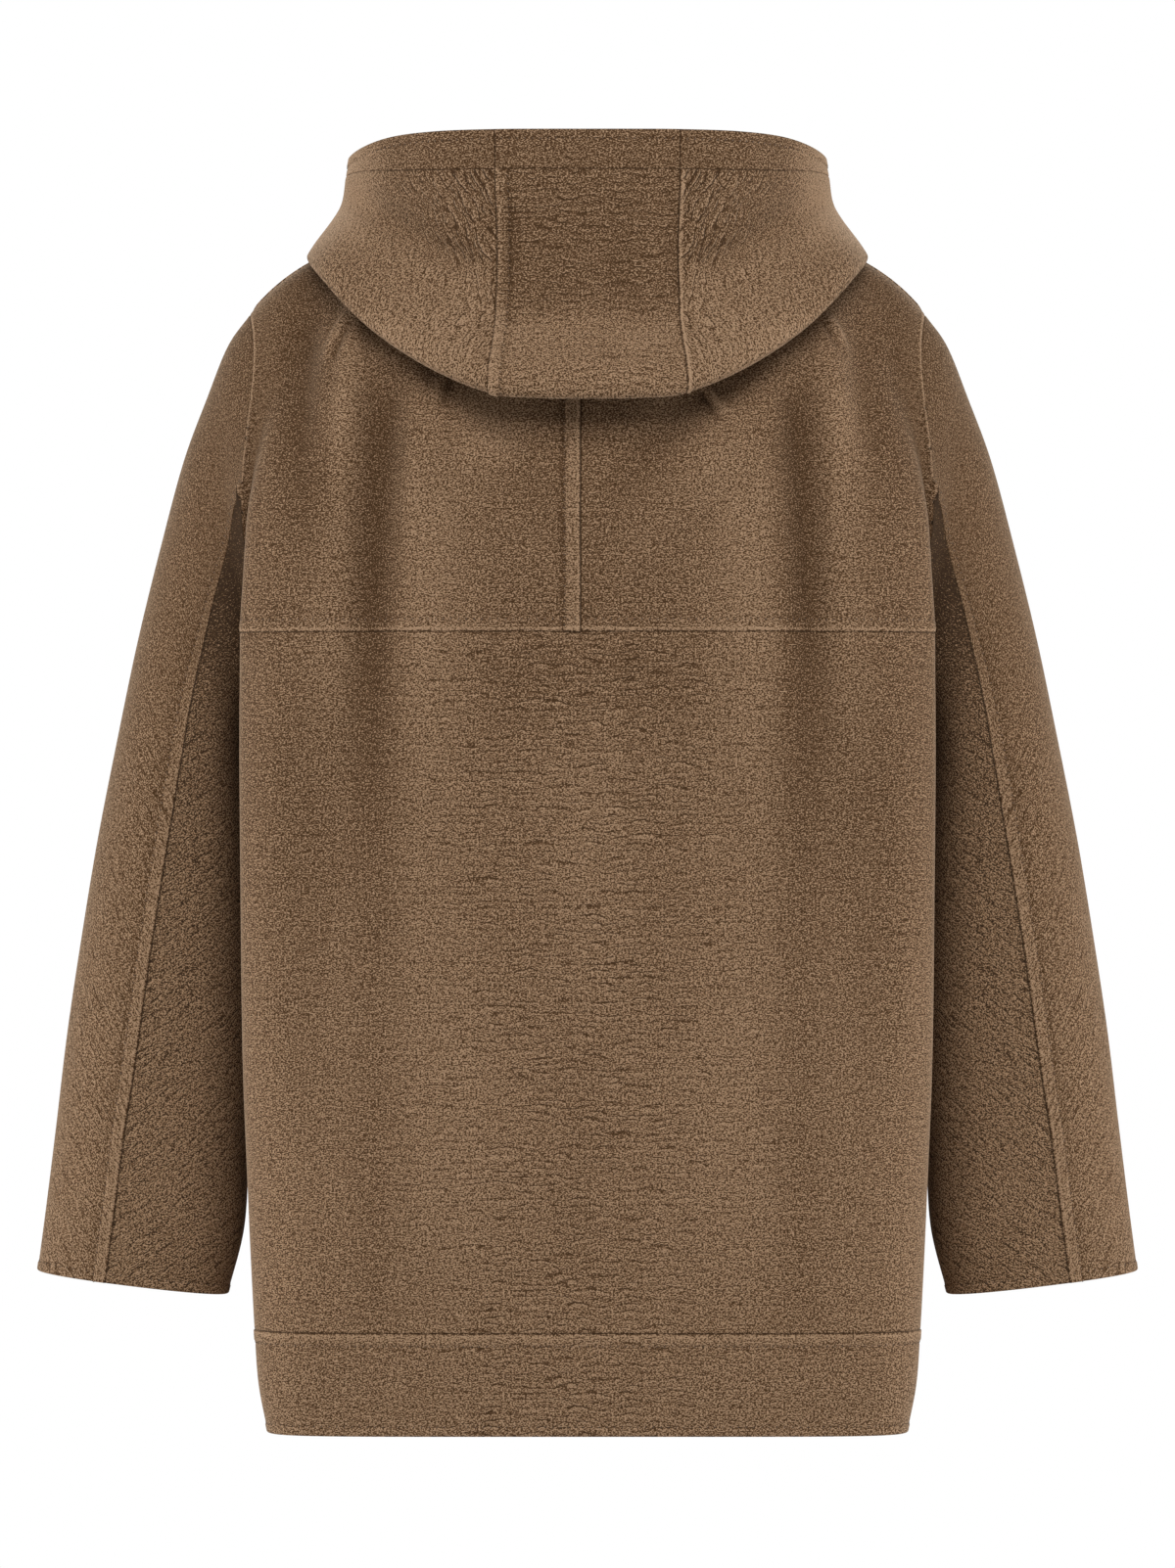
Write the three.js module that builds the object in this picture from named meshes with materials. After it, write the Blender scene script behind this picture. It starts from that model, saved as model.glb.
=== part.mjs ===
// A short hooded coat in double-faced cashmere, filled out as if worn, with no wearer in it.
//
// Frame, in millimetres: +Z is up, the back of the coat faces +Y and the front faces -Y, so the
// wearer's left is +X. The origin is where the neck of the wearer holds the coat up: on the plane
// of symmetry, level with the points where the shoulder seams meet the neck.
//
// Every piece of cloth is a wall. A function gives a point of the inner face from two numbers, the
// way across the piece and the way along it, and the wall is that face and its copy moved outwards.
// Pieces that are sewn together share their seam points and the normals there, so that their edges
// are mitred, and each edge then stands back by half a seam gap.
import * as THREE from 'three';

// A table with named columns, as one record for each row.
function table(names, rows) {
  return rows.map((row) => Object.fromEntries(names.map((name, i) => [name, row[i]])));
}

// ---------- Cloth ----------
const CLOTH = 2.5;
const SEAM_GAP = 0.3;
const MITRE_LIMIT = 0.35;
const COLOUR = 0x745b45;

// ---------- Levels and widths of the body ----------
const YOKE_SEAM_Z = -288;
const UNDERARM_Z = -310;
const BAND_SEAM_Z = -744;
const HEM_Z = -811;
const BACK_SEAM_X = 4.5;
const FRONT_LAP = 35;
const LAP_STEP = CLOTH + 1.9;
const LAP_EASE = 28;
const LAP_TOP_DROP = 0.6;
// The lap's top edge is cut lower up to this distance from the middle front.
const LAP_NOTCH = 3;

// The arm hollow: towards the front the body narrows from its full width to the width beside the arm.
const ARM_HOLLOW = { startY: 78, endY: 4 };

// Level sections of the body. wide: half width of the back slab; side: half width beside the arm;
// back and front: how far the middle stands off the plane of the shoulder seams; square: how sharply
// the slab turns at its sides.
const BODY = table(
  ['z', 'wide', 'side', 'back', 'front', 'square'],
  [
    [-811, 208.5, 203, 106, 108, 7],
    [-780, 215, 206, 108, 110, 6.5],
    [-744, 218, 209, 110, 112, 6],
    [-660, 224, 210, 112, 115, 5],
    [-580, 228.5, 207, 112, 117, 4.8],
    [-480, 231.5, 204, 112, 118, 4.5],
    [-310, 233.5, 205, 112, 119, 4.2],
    [-190, 229, 205, 111, 117, 4],
    [-78, 222, 206, 107, 108, 3.6],
  ],
);

// ---------- Neck, shoulder and armhole ----------
const NECK = { halfWidth: 74, back: 46, front: 74, backDrop: 4, frontDrop: 62 };
const SHOULDER = { x: 222, z: -77, evenDrop: 54, endPower: 6 };
const NECK_SHARE = 0.224;
// Below the neck and shoulder seams the body comes out to its full depth over this height, along a
// curve that is straighter at power 1 and rounder at power 2.
const SLOPE_HEIGHT = { neck: 190, shoulder: 125 };
const SLOPE_POWER = { neck: 1.2, shoulder: 1.45 };
const SLOPE_SHOULDER_FROM = 0.6;
const DROP_POWER = 1.5;
const CLIMB_POWER = { back: 1.7, front: 1.5 };
// The outer part of each row, from this share of the width, bends out to meet the armhole. The back
// widens gradually in its high rows, and only close to the armhole past the low angles round it.
const REACH = { from: 0.4, power: 2, highPower: 1.4, lowPower: 5, lowFrom: 100, lowTo: 160 };
const ARMHOLE = { back: 62, front: -60, backSwell: 12.5, backSwellLow: 10, backSwellEnds: 14, frontSwell: -6 };

// ---------- Sleeve ----------
// Rings of the left sleeve from the armhole to the cuff edge. Each ring is a slice from its inner to
// its outer point, set at y and reaching deep to the back and the front of it. seam is the angle of
// the back seam round the ring, in degrees from the outer point.
const SLEEVE = table(
  ['innerX', 'innerZ', 'outerX', 'outerZ', 'y', 'deep', 'seam'],
  [
    [205, -310, 222, -77, 0, 61, 89.7],
    [213, -313, 236.5, -97, -5, 58, 90],
    [217, -318, 250.5, -131, -11, 57, 91],
    [222, -327, 266, -172, -17, 59, 93.5],
    [227, -340, 281, -226, -24, 61, 95.5],
    [230, -360, 297, -290, -29, 63, 95],
    [229, -400, 311, -356, -32, 63, 91],
    [227, -455, 324.5, -424, -33, 61, 86],
    [226, -513, 335.5, -490, -34, 59, 81.5],
    [226, -572, 345, -553, -35, 56, 78.5],
    [229, -632, 352.5, -615, -36, 52, 75],
    [232, -683, 359, -667, -37, 48, 73.5],
    [243, -727, 365, -712, -38, 45, 75],
  ],
);
const SLEEVE_SQUARENESS = 2.3;
const SLEEVE_FRONT_SEAM_STEP = 6;
// The rings over which the sleeve passes from the armhole's own line to its round shape.
const SLEEVE_SETTLE_RINGS = 3;

// ---------- Hood ----------
// Stations round the neck, from the middle of the back to the middle of the front. roll is the
// outermost line of the hanging hood and rim its face edge; crease is the share of the way between
// them at which the hood caves in, and set how far; stand is how high the hood rises at the neck
// before it falls, lift how far the layer below then clears the coat, turn how far that layer hangs
// under the roll; full is how far the cloth falls back over the coat (1) or stands up (0); and band
// is the width of the band round the rim.
const HOOD = table(
  ['rollX', 'rollY', 'rollZ', 'rimX', 'rimY', 'rimZ', 'set', 'stand', 'lift', 'turn', 'full', 'crease', 'band'],
  [
    [0, 140, -123.5, 0, 106, 38.5, 13, 15, 7, 9, 1, 0.27, 26],
    [32, 139.5, -123, 30, 106, 38.5, 13, 15, 8, 9, 1, 0.27, 26],
    [64, 135, -119.5, 60, 104, 38.5, 14, 15, 10, 9, 1, 0.29, 26],
    [106, 123, -101.5, 98, 95.5, 38, 18, 15, 12, 9, 1, 0.4, 25],
    [144, 98, -76, 127, 70, 36.5, 17, 16, 14, 8, 1, 0.48, 22],
    [171, 63, -48, 147, 37, 32, 13, 17, 16, 5, 1, 0.5, 16],
    [180.5, 10, -33, 155.5, -4, 27, 7, 18, 18, 1.5, 1, 0.45, 12],
    [167, -42, -24, 139, -44, 27, 6, 22, 16, 4, 0.9, 0.4, 12],
    [127, -86, -29, 108, -82, 16, 4, 20, 12, 4, 0.7, 0.36, 12],
    [66, -106, -38, 58, -104, 5, 2, 14, 8, 3, 0.35, 0.33, 12],
    [1.5, -92, -46, 1.5, -106, -5, 0, 0, 0, 0, 0, 0.33, 12],
  ],
);
const HOOD_PANEL_STATION = 2;
const HOOD_TURN_INWARDS = 0.8;
const HOOD_STAND_LEAN = 0.3;
// Where the hood stands up, its stand and turn lines draw together by these shares.
const HOOD_DRAW = { stand: 0.3, turn: 0.25 };
// Near the middle front the rim band narrows to a share of the cloth above the crease.
const HOOD_NARROW = { below: 0.6, from: 0.45, gain: 0.1 };
// Where the eight lines of the hood's profile lie along it, from the neck seam to the rim.
const HOOD_LINES = [0, 0.1, 0.3, 0.42, 0.5, 0.7, 0.88, 1];

// ---------- How finely the pieces are divided ----------
const NECK_BACK_STEPS = 6;
const NECK_FRONT_STEPS = 4;
const SHOULDER_STEPS = 7;
const YOKE_STEPS = 8;
const UNDER_YOKE_STEPS = 2;
const SKIRT_STEPS = 8;
const BAND_STEPS = 2;
const HALVINGS = 24;

// ---------- Small helpers ----------
const lerp = THREE.MathUtils.lerp;
const mirrored = (point) => new THREE.Vector3(-point.x, point.y, point.z);
const clamp = THREE.MathUtils.clamp;
const degrees = THREE.MathUtils.degToRad;

function ease(value) {
  const t = clamp(value, 0, 1);
  return t * t * (3 - 2 * t);
}

function steps(from, to, count) {
  return Array.from({ length: count + 1 }, (_, i) => lerp(from, to, i / count));
}

// One or more numbers at a place between known ones, on a smooth curve through them all.
function through(places, values, at) {
  const last = places.length - 1;
  let k = 0;
  while (k < last - 1 && at > places[k + 1]) k += 1;
  const span = places[k + 1] - places[k];
  const t = clamp((at - places[k]) / span, 0, 1);
  const slope = (i) => {
    const before = Math.max(i - 1, 0);
    const after = Math.min(i + 1, last);
    return (values[after] - values[before]) / (places[after] - places[before]);
  };
  const t2 = t * t;
  const t3 = t2 * t;
  return (2 * t3 - 3 * t2 + 1) * values[k] + (t3 - 2 * t2 + t) * span * slope(k)
    + (3 * t2 - 2 * t3) * values[k + 1] + (t3 - t2) * span * slope(k + 1);
}

// A row of a table at any place between its rows.
function rowAt(table, places, at) {
  const row = {};
  for (const name of Object.keys(table[0])) {
    row[name] = through(places, table.map((entry) => entry[name]), at);
  }
  return row;
}

// A unit square with rounded corners: a circle at power 2, squarer as the power grows.
function roundedSquare(angle, power) {
  const s = Math.sin(angle);
  const c = Math.cos(angle);
  const size = (Math.abs(s) ** power + Math.abs(c) ** power) ** (1 / power);
  return { across: s / size, deep: c / size };
}

// ---------- Armhole ----------
const BODY_LEVELS = BODY.map((row) => row.z);
const bodyRow = (z) => rowAt(BODY, BODY_LEVELS, clamp(z, HEM_Z, SHOULDER.z));
const UNDERARM_X = bodyRow(UNDERARM_Z).side;

// The armhole of the left side. The angle runs from the shoulder point, 0, over the back, 90
// degrees, to the underarm, 180; negative angles run over the front.
function armhole(angle) {
  const height = (1 + Math.cos(angle)) / 2;
  const turn = Math.sin(angle);
  const level = Math.cos(angle);
  const backSwell = ARMHOLE.backSwell - ARMHOLE.backSwellLow * level - ARMHOLE.backSwellEnds * level ** 2;
  const swell = turn > 0 ? backSwell : ARMHOLE.frontSwell;
  const depth = turn > 0 ? ARMHOLE.back : -ARMHOLE.front;
  return new THREE.Vector3(
    lerp(UNDERARM_X, SHOULDER.x, height) + swell * turn * turn,
    depth * turn,
    lerp(UNDERARM_Z, SHOULDER.z, height),
  );
}

const armholeMiddle = (UNDERARM_Z + SHOULDER.z) / 2;
const YOKE_ANGLE = Math.acos((YOKE_SEAM_Z - armholeMiddle) / (SHOULDER.z - armholeMiddle));
const ARMHOLE_ANGLES = [
  ...steps(0, YOKE_ANGLE, YOKE_STEPS),
  ...steps(YOKE_ANGLE, Math.PI, UNDER_YOKE_STEPS).slice(1),
];

// ---------- Body ----------
// Where a column of the body ends above: on the neck seam or on the shoulder seam.
function topOfColumn(face, across) {
  const share = Math.abs(across) / NECK_SHARE;
  if (share <= 1) {
    const angle = (share * Math.PI) / 2;
    const depth = face > 0 ? NECK.back : -NECK.front;
    const drop = face > 0 ? NECK.backDrop : NECK.frontDrop;
    return new THREE.Vector3(
      Math.sign(across) * NECK.halfWidth * Math.sin(angle),
      depth * Math.cos(angle),
      -drop * Math.cos(angle) ** DROP_POWER,
    );
  }
  const along = (Math.abs(across) - NECK_SHARE) / (1 - NECK_SHARE);
  return new THREE.Vector3(
    Math.sign(across) * lerp(NECK.halfWidth, SHOULDER.x, along),
    0,
    -SHOULDER.evenDrop * along + (SHOULDER.z + SHOULDER.evenDrop) * along ** SHOULDER.endPower,
  );
}

// A point of a level section. face is 1 for the back and -1 for the front; across runs from the
// middle, 0, to the side seam, 1.
function sectionPoint(face, across, z) {
  const row = bodyRow(z);
  const corner = roundedSquare((across * Math.PI) / 2, row.square);
  const y = face * (face > 0 ? row.back : row.front) * corner.deep;
  const hollow = ease((ARM_HOLLOW.startY - y) / (ARM_HOLLOW.startY - ARM_HOLLOW.endY));
  return new THREE.Vector3(corner.across * lerp(row.wide, row.side, hollow), y, z);
}

// How far the slope of the neck or shoulder has come out to the full depth of the body.
function slopeRise(across, drop) {
  const towardsShoulder = ease(Math.abs(across) / SLOPE_SHOULDER_FROM);
  const height = lerp(SLOPE_HEIGHT.neck, SLOPE_HEIGHT.shoulder, towardsShoulder);
  const power = lerp(SLOPE_POWER.neck, SLOPE_POWER.shoulder, towardsShoulder);
  const t = clamp(drop / height, 0, 1);
  return (1 - (1 - t) ** power) ** (1 / power);
}

// A point above the underarm, on the row that meets the armhole at the given angle.
function chestPoint(face, across, angle) {
  const edge = armhole(face * angle);
  const levelRow = angle >= YOKE_ANGLE;
  const climb = levelRow ? 0 : (edge.z - YOKE_SEAM_Z) / (SHOULDER.z - YOKE_SEAM_Z);
  const top = topOfColumn(face, across);
  const z = levelRow ? edge.z : lerp(YOKE_SEAM_Z, top.z, climb);
  const blend = climb ** (face > 0 ? CLIMB_POWER.back : CLIMB_POWER.front);
  const level = sectionPoint(face, across, z);
  const rise = slopeRise(across, top.z - z);
  const point = new THREE.Vector3(
    lerp(level.x, top.x, blend),
    lerp(top.y, level.y, rise),
    z,
  );
  const levelEdge = sectionPoint(face, 1, edge.z);
  const nearEdge = clamp((Math.abs(across) - REACH.from) / (1 - REACH.from), 0, 1);
  const low = ease((angle - degrees(REACH.lowFrom)) / degrees(REACH.lowTo - REACH.lowFrom));
  const widening = nearEdge ** (face > 0 ? lerp(REACH.highPower, REACH.lowPower, low) : REACH.power);
  const side = Math.sign(across);
  point.x += widening * side * (edge.x - lerp(levelEdge.x, SHOULDER.x, blend));
  point.y += nearEdge ** REACH.power * edge.y;
  return point;
}

// Rows of the body from the top down: chest rows have an armhole angle, skirt rows a level.
const YOKE_ROWS = ARMHOLE_ANGLES.slice(0, YOKE_STEPS + 1).map((angle) => ({ angle }));
const UNDER_YOKE_ROWS = ARMHOLE_ANGLES.slice(YOKE_STEPS).map((angle) => ({ angle }));
const SKIRT_ROWS = steps(UNDERARM_Z, BAND_SEAM_Z, SKIRT_STEPS).map((z) => ({ z }));
const FRONT_ROWS = [...YOKE_ROWS, ...UNDER_YOKE_ROWS.slice(1), ...SKIRT_ROWS.slice(1)];
const BAND_ROWS = steps(BAND_SEAM_Z, HEM_Z, BAND_STEPS).map((z) => ({ z }));

function bodyPoint(face, across, row) {
  return row.z === undefined ? chestPoint(face, across, row.angle) : sectionPoint(face, across, row.z);
}

const columnsFrom = (neckSteps) => [
  ...steps(0, NECK_SHARE, neckSteps),
  ...steps(NECK_SHARE, 1, SHOULDER_STEPS).slice(1),
];
const BACK_HALF_COLUMNS = columnsFrom(NECK_BACK_STEPS);
const BACK_COLUMNS = [...BACK_HALF_COLUMNS.slice(1).map((across) => -across).reverse(), ...BACK_HALF_COLUMNS];

const FRONT_COLUMNS = columnsFrom(NECK_FRONT_STEPS);

// Past the middle, each front laps the other, with its top edge cut lower than the neck seam.
const LAP_PLACES = [FRONT_LAP, FRONT_LAP / 2, LAP_NOTCH];

// The point of a front row at a distance x past the middle, found by halving.
function lapPoint(row, x) {
  let low = 0;
  let high = NECK_SHARE;
  for (let i = 0; i < HALVINGS; i += 1) {
    const middle = (low + high) / 2;
    if (bodyPoint(-1, middle, row).x < x) low = middle;
    else high = middle;
  }
  return mirrored(bodyPoint(-1, high, row));
}

// ---------- Sleeve ----------
const SLEEVE_PLACES = SLEEVE.map((_, i) => i);

function ringPoint(place, angle) {
  const ring = rowAt(SLEEVE, SLEEVE_PLACES, place);
  const corner = roundedSquare(angle, SLEEVE_SQUARENESS);
  const out = (1 + corner.deep) / 2;
  return new THREE.Vector3(
    lerp(ring.innerX, ring.outerX, out),
    ring.y + ring.deep * corner.across,
    lerp(ring.innerZ, ring.outerZ, out),
  );
}

// A point of the left sleeve. place counts the rings from the armhole; start is the angle of this
// thread line at the armhole. The lines lean so that the back seam keeps its place on the ring.
function sleevePoint(place, start) {
  const seam = degrees(rowAt(SLEEVE, SLEEVE_PLACES, place).seam);
  const seamStart = degrees(SLEEVE[0].seam);
  let angle = start;
  if (start > 0 && start <= seamStart) angle = (start * seam) / seamStart;
  if (start > seamStart) angle = Math.PI - ((Math.PI - start) * (Math.PI - seam)) / (Math.PI - seamStart);
  const point = ringPoint(place, angle);
  const settle = clamp(1 - place / SLEEVE_SETTLE_RINGS, 0, 1) ** 2;
  const offset = armhole(start).sub(ringPoint(0, start));
  return point.addScaledVector(offset, settle);
}

// ---------- Hood ----------
const HOOD_PLACES = HOOD.map((_, i) => i);
const LAST_STATION = HOOD.length - 1;

// The neck seam at a station of the hood.
function neckSeam(station) {
  const onBack = station <= NECK_BACK_STEPS;
  const share = onBack ? station / NECK_BACK_STEPS : (LAST_STATION - station) / NECK_FRONT_STEPS;
  return topOfColumn(onBack ? 1 : -1, NECK_SHARE * share);
}

function hoodLines(station) {
  const row = rowAt(HOOD, HOOD_PLACES, station);
  const neck = neckSeam(station);
  const roll = new THREE.Vector3(row.rollX, row.rollY, row.rollZ);
  const rim = new THREE.Vector3(row.rimX, row.rimY, row.rimZ);
  const out = new THREE.Vector3(roll.x - neck.x, roll.y - neck.y, 0).normalize();
  const up = new THREE.Vector3(0, 0, 1);
  const full = clamp(row.full, 0, 1);
  const stand = neck.clone()
    .addScaledVector(up, row.stand * full)
    .addScaledVector(out, HOOD_STAND_LEAN * row.stand * full)
    .lerp(roll, HOOD_DRAW.stand * (1 - full));
  const turn = roll.clone()
    .addScaledVector(out, -HOOD_TURN_INWARDS * row.turn * full)
    .addScaledVector(up, -row.turn * full)
    .lerp(neck, HOOD_DRAW.turn * (1 - full));
  const under = stand.clone().lerp(turn, 0.5).addScaledVector(up, row.lift * full);
  const crease = roll.clone().lerp(rim, row.crease).addScaledVector(out, -row.set);
  const bandSeam = rim.clone().addScaledVector(crease.clone().sub(rim).normalize(), row.band);
  if (full < HOOD_NARROW.below) {
    bandSeam.lerpVectors(crease, rim, HOOD_NARROW.from + HOOD_NARROW.gain * full);
  }
  return [neck, stand, under, turn, roll, crease, bandSeam, rim];
}

function hoodPoint(station, along) {
  const lines = hoodLines(station);
  const at = (axis) => through(HOOD_LINES, lines.map((line) => line[axis]), along);
  return new THREE.Vector3(at('x'), at('y'), at('z'));
}

const HOOD_BODY_PLACES = HOOD_LINES.slice(0, -1).flatMap((from, i) => {
  const to = HOOD_LINES[i + 1];
  return i === HOOD_LINES.length - 2 ? [from] : [from, (from + to) / 2];
});
const HOOD_BAND_PLACES = steps(HOOD_LINES[6], 1, 2);

// ---------- Cloth pieces as grids of points ----------
// The slope of a grid of points at one of them, as the directions along its row and its column.
function directions(points, r, c) {
  const before = (i) => Math.max(i - 1, 0);
  const after = (i, length) => Math.min(i + 1, length - 1);
  const alongRow = points[r][after(c, points[r].length)].clone().sub(points[r][before(c)]);
  const alongColumn = points[after(r, points.length)][c].clone().sub(points[before(r)][c]);
  return { alongRow, alongColumn };
}

// The left front lies under the right one where they lap, and eases out to its own surface.
function stepIn(points) {
  return points.map((row, r) => row.map((point, c) => {
    const { alongRow, alongColumn } = directions(points, r, c);
    const inward = alongColumn.cross(alongRow).normalize();
    const depth = LAP_STEP * ease(1 - (point.x - FRONT_LAP) / LAP_EASE);
    return point.clone().addScaledVector(inward, depth);
  }));
}

function grid(rows, columns, pointAt) {
  return rows.map((row) => columns.map((column) => pointAt(row, column)));
}

function mirroredGrid(points) {
  return points.map((row) => row.map(mirrored));
}

// flip is false for a grid whose squares, taken down and then across, face into the coat.
const pieces = [];

function addPiece(name, points, flip) {
  pieces.push({ name, points, flip });
}

function addPair(name, pointsOf, flip) {
  addPiece(`${name}_left`, pointsOf('left'), flip);
  addPiece(`${name}_right`, mirroredGrid(pointsOf('right')), !flip);
}

// The middle back seam leaves the middle of the neck and runs down a little to the left.
addPair('back_yoke', (side) => {
  const points = grid(YOKE_ROWS, BACK_HALF_COLUMNS, (row, across) => bodyPoint(1, across, row));
  return points.map((row, r) => {
    const seam = row[0].clone().lerp(row[1], r === 0 ? 0 : BACK_SEAM_X / row[1].x);
    return [side === 'left' ? seam : mirrored(seam), ...row.slice(1)];
  });
}, false);

addPiece('back_panel', grid(
  [...UNDER_YOKE_ROWS, ...SKIRT_ROWS.slice(1)],
  BACK_COLUMNS,
  (row, across) => bodyPoint(1, across, row),
), false);

addPiece('back_hem_band', grid(BAND_ROWS, BACK_COLUMNS, (row, across) => bodyPoint(1, across, row)), false);

function frontGrid(rows, side) {
  const points = rows.map((row) => [
    ...LAP_PLACES.map((x) => lapPoint(row, x)),
    ...FRONT_COLUMNS.map((across) => bodyPoint(-1, across, row)),
  ]);
  const placed = side === 'left' ? stepIn(points) : points;
  if (rows === FRONT_ROWS) {
    for (let c = 0; c < LAP_PLACES.length; c += 1) placed[0][c].lerp(placed[1][c], LAP_TOP_DROP);
  }
  return placed;
}

addPair('front', (side) => frontGrid(FRONT_ROWS, side), true);
addPair('front_hem_band', (side) => frontGrid(BAND_ROWS, side), true);

const sleeveBackAngles = ARMHOLE_ANGLES.slice(0, YOKE_STEPS * 5 / 8 + 1);
const seamStep = sleeveBackAngles.length - 1;
const upperAngles = [
  ...ARMHOLE_ANGLES.slice(1, SLEEVE_FRONT_SEAM_STEP + 1).map((angle) => -angle).reverse(),
  ...sleeveBackAngles,
];
const underAngles = [
  ...ARMHOLE_ANGLES.slice(seamStep),
  ...ARMHOLE_ANGLES.slice(SLEEVE_FRONT_SEAM_STEP, -1).map((angle) => -angle).reverse(),
];
addPair('sleeve_upper', () => grid(SLEEVE_PLACES, upperAngles, sleevePoint), true);
addPair('sleeve_under', () => grid(SLEEVE_PLACES, underAngles, sleevePoint), true);

const centreStations = HOOD_PLACES.slice(0, HOOD_PANEL_STATION + 1);
const sideStations = HOOD_PLACES.slice(HOOD_PANEL_STATION);

function hoodCentre(places) {
  const half = (sign) => (place, station) => {
    const point = hoodPoint(station, place);
    return sign > 0 ? point : mirrored(point);
  };
  const left = grid(places, centreStations, half(1));
  const right = grid(places, centreStations.slice(1).reverse(), half(-1));
  return right.map((row, i) => [...row, ...left[i]]);
}

// The left end of the hood's neck seam follows the left front, which lies under the right one.
const leftNeckline = frontGrid(FRONT_ROWS, 'left')[0].slice(LAP_PLACES.length);

const hoodSide = (places) => (side) => grid(places, sideStations, (place, station) => {
  const onLeftFront = side === 'left' && place === 0 && station > NECK_BACK_STEPS;
  return onLeftFront ? leftNeckline[LAST_STATION - station].clone() : hoodPoint(station, place);
});

addPiece('hood_centre', hoodCentre(HOOD_BODY_PLACES), true);
addPair('hood_side', hoodSide(HOOD_BODY_PLACES), true);
addPiece('hood_rim_centre', hoodCentre(HOOD_BAND_PLACES), true);
addPair('hood_rim', hoodSide(HOOD_BAND_PLACES), true);

// ---------- Normals shared along the seams ----------
const MERGE = 100;
const keyOf = (point) => `${Math.round(point.x * MERGE)},${Math.round(point.y * MERGE)},${Math.round(point.z * MERGE)}`;

function eachQuad(points, visit) {
  for (let r = 0; r < points.length - 1; r += 1) {
    for (let c = 0; c < points[0].length - 1; c += 1) visit(r, c);
  }
}

// For each point, the unit normal that each piece's inner face has there, facing into the coat.
const normalsAt = new Map();
for (const { points, flip } of pieces) {
  const own = new Map();
  eachQuad(points, (r, c) => {
    const corners = [points[r][c], points[r + 1][c], points[r + 1][c + 1], points[r][c + 1]];
    const normal = corners[2].clone().sub(corners[0]).cross(corners[3].clone().sub(corners[1]));
    normal.multiplyScalar(flip ? -1 : 1);
    for (const corner of corners) {
      const key = keyOf(corner);
      if (!own.has(key)) own.set(key, new THREE.Vector3());
      own.get(key).add(normal);
    }
  });
  for (const [key, normal] of own) {
    if (!normalsAt.has(key)) normalsAt.set(key, []);
    normalsAt.get(key).push(normal.normalize());
  }
}

// How far and which way the outer face lies from a point: along the mitre of the pieces that meet.
function outwards(point) {
  const own = normalsAt.get(keyOf(point));
  const mitre = own.reduce((sum, normal) => sum.add(normal), new THREE.Vector3()).normalize();
  const facing = Math.min(...own.map((normal) => mitre.dot(normal)));
  return mitre.multiplyScalar(-CLOTH / Math.max(facing, MITRE_LIMIT));
}

// ---------- Walls ----------
// An edge point moved back from its seam, towards the piece's own cloth.
function standBack(points, r, c) {
  const point = points[r][c].clone();
  const rows = points.length - 1;
  const columns = points[0].length - 1;
  const pull = (neighbour) => point.addScaledVector(
    neighbour.clone().sub(points[r][c]).normalize(),
    SEAM_GAP / 2,
  );
  if (r === 0) pull(points[1][c]);
  if (r === rows) pull(points[rows - 1][c]);
  if (c === 0) pull(points[r][1]);
  if (c === columns) pull(points[r][columns - 1]);
  return point;
}

function wall({ points, flip }) {
  const rows = points.length;
  const columns = points[0].length;
  const inner = [];
  const outer = [];
  const seamInner = points.flat();
  const seamOuter = seamInner.map((point) => point.clone().add(outwards(point)));
  for (let r = 0; r < rows; r += 1) {
    for (let c = 0; c < columns; c += 1) {
      const point = standBack(points, r, c);
      inner.push(point);
      outer.push(point.clone().add(seamOuter[r * columns + c]).sub(points[r][c]));
    }
  }
  const count = inner.length;
  const index = [];
  const quad = (a, b, c, d) => index.push(...(flip ? [a, c, b, a, d, c] : [a, b, c, a, c, d]));
  const at = (r, c) => r * columns + c;
  // A warped square of the cloth folds along its shorter diagonal.
  eachQuad(points, (r, c) => {
    const square = [at(r, c), at(r + 1, c), at(r + 1, c + 1), at(r, c + 1)];
    const first = seamInner[square[0]].distanceToSquared(seamInner[square[2]]);
    const second = seamInner[square[1]].distanceToSquared(seamInner[square[3]]);
    if (second < first) square.push(square.shift());
    const [p, q, u, v] = square;
    quad(p, q, u, v);
    quad(count + p, count + v, count + u, count + q);
  });
  // Both pieces at a seam split its edge faces along the shorter diagonal.
  const edge = (a, b) => {
    const first = seamInner[b].distanceToSquared(seamOuter[a]);
    const second = seamInner[a].distanceToSquared(seamOuter[b]);
    if (first <= second) quad(b, a, count + a, count + b);
    else quad(a, count + a, count + b, b);
  };
  for (let c = 0; c < columns - 1; c += 1) {
    edge(at(0, c + 1), at(0, c));
    edge(at(rows - 1, c), at(rows - 1, c + 1));
  }
  for (let r = 0; r < rows - 1; r += 1) {
    edge(at(r, 0), at(r + 1, 0));
    edge(at(r + 1, columns - 1), at(r, columns - 1));
  }
  const geometry = new THREE.BufferGeometry().setFromPoints([...inner, ...outer]);
  geometry.setIndex(index);
  geometry.computeVertexNormals();
  return geometry;
}

// ---------- The coat ----------
const coat = new THREE.Group();
for (const piece of pieces) {
  const material = new THREE.MeshStandardMaterial({ color: COLOUR, roughness: 0.95, metalness: 0 });
  const mesh = new THREE.Mesh(wall(piece), material);
  mesh.name = piece.name;
  coat.add(mesh);
}

export default coat;
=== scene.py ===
# %% [markdown]
# # A hooded coat in double-faced cashmere
#
# The real coat is cut from one thick felted cloth with no lining. Its pieces meet edge to edge, and the
# edge of one of them is felled down by hand, so each seam shows as a narrow ridge with a dark line beside
# it. Such a coat could be sculpted, simulated over a figure, or worked out from measured sections.
# Sections are used here, because the seams then lie where a cutter would place them, and because the part
# that carries the coat in the physics model was made from the same sections.

import math

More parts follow.
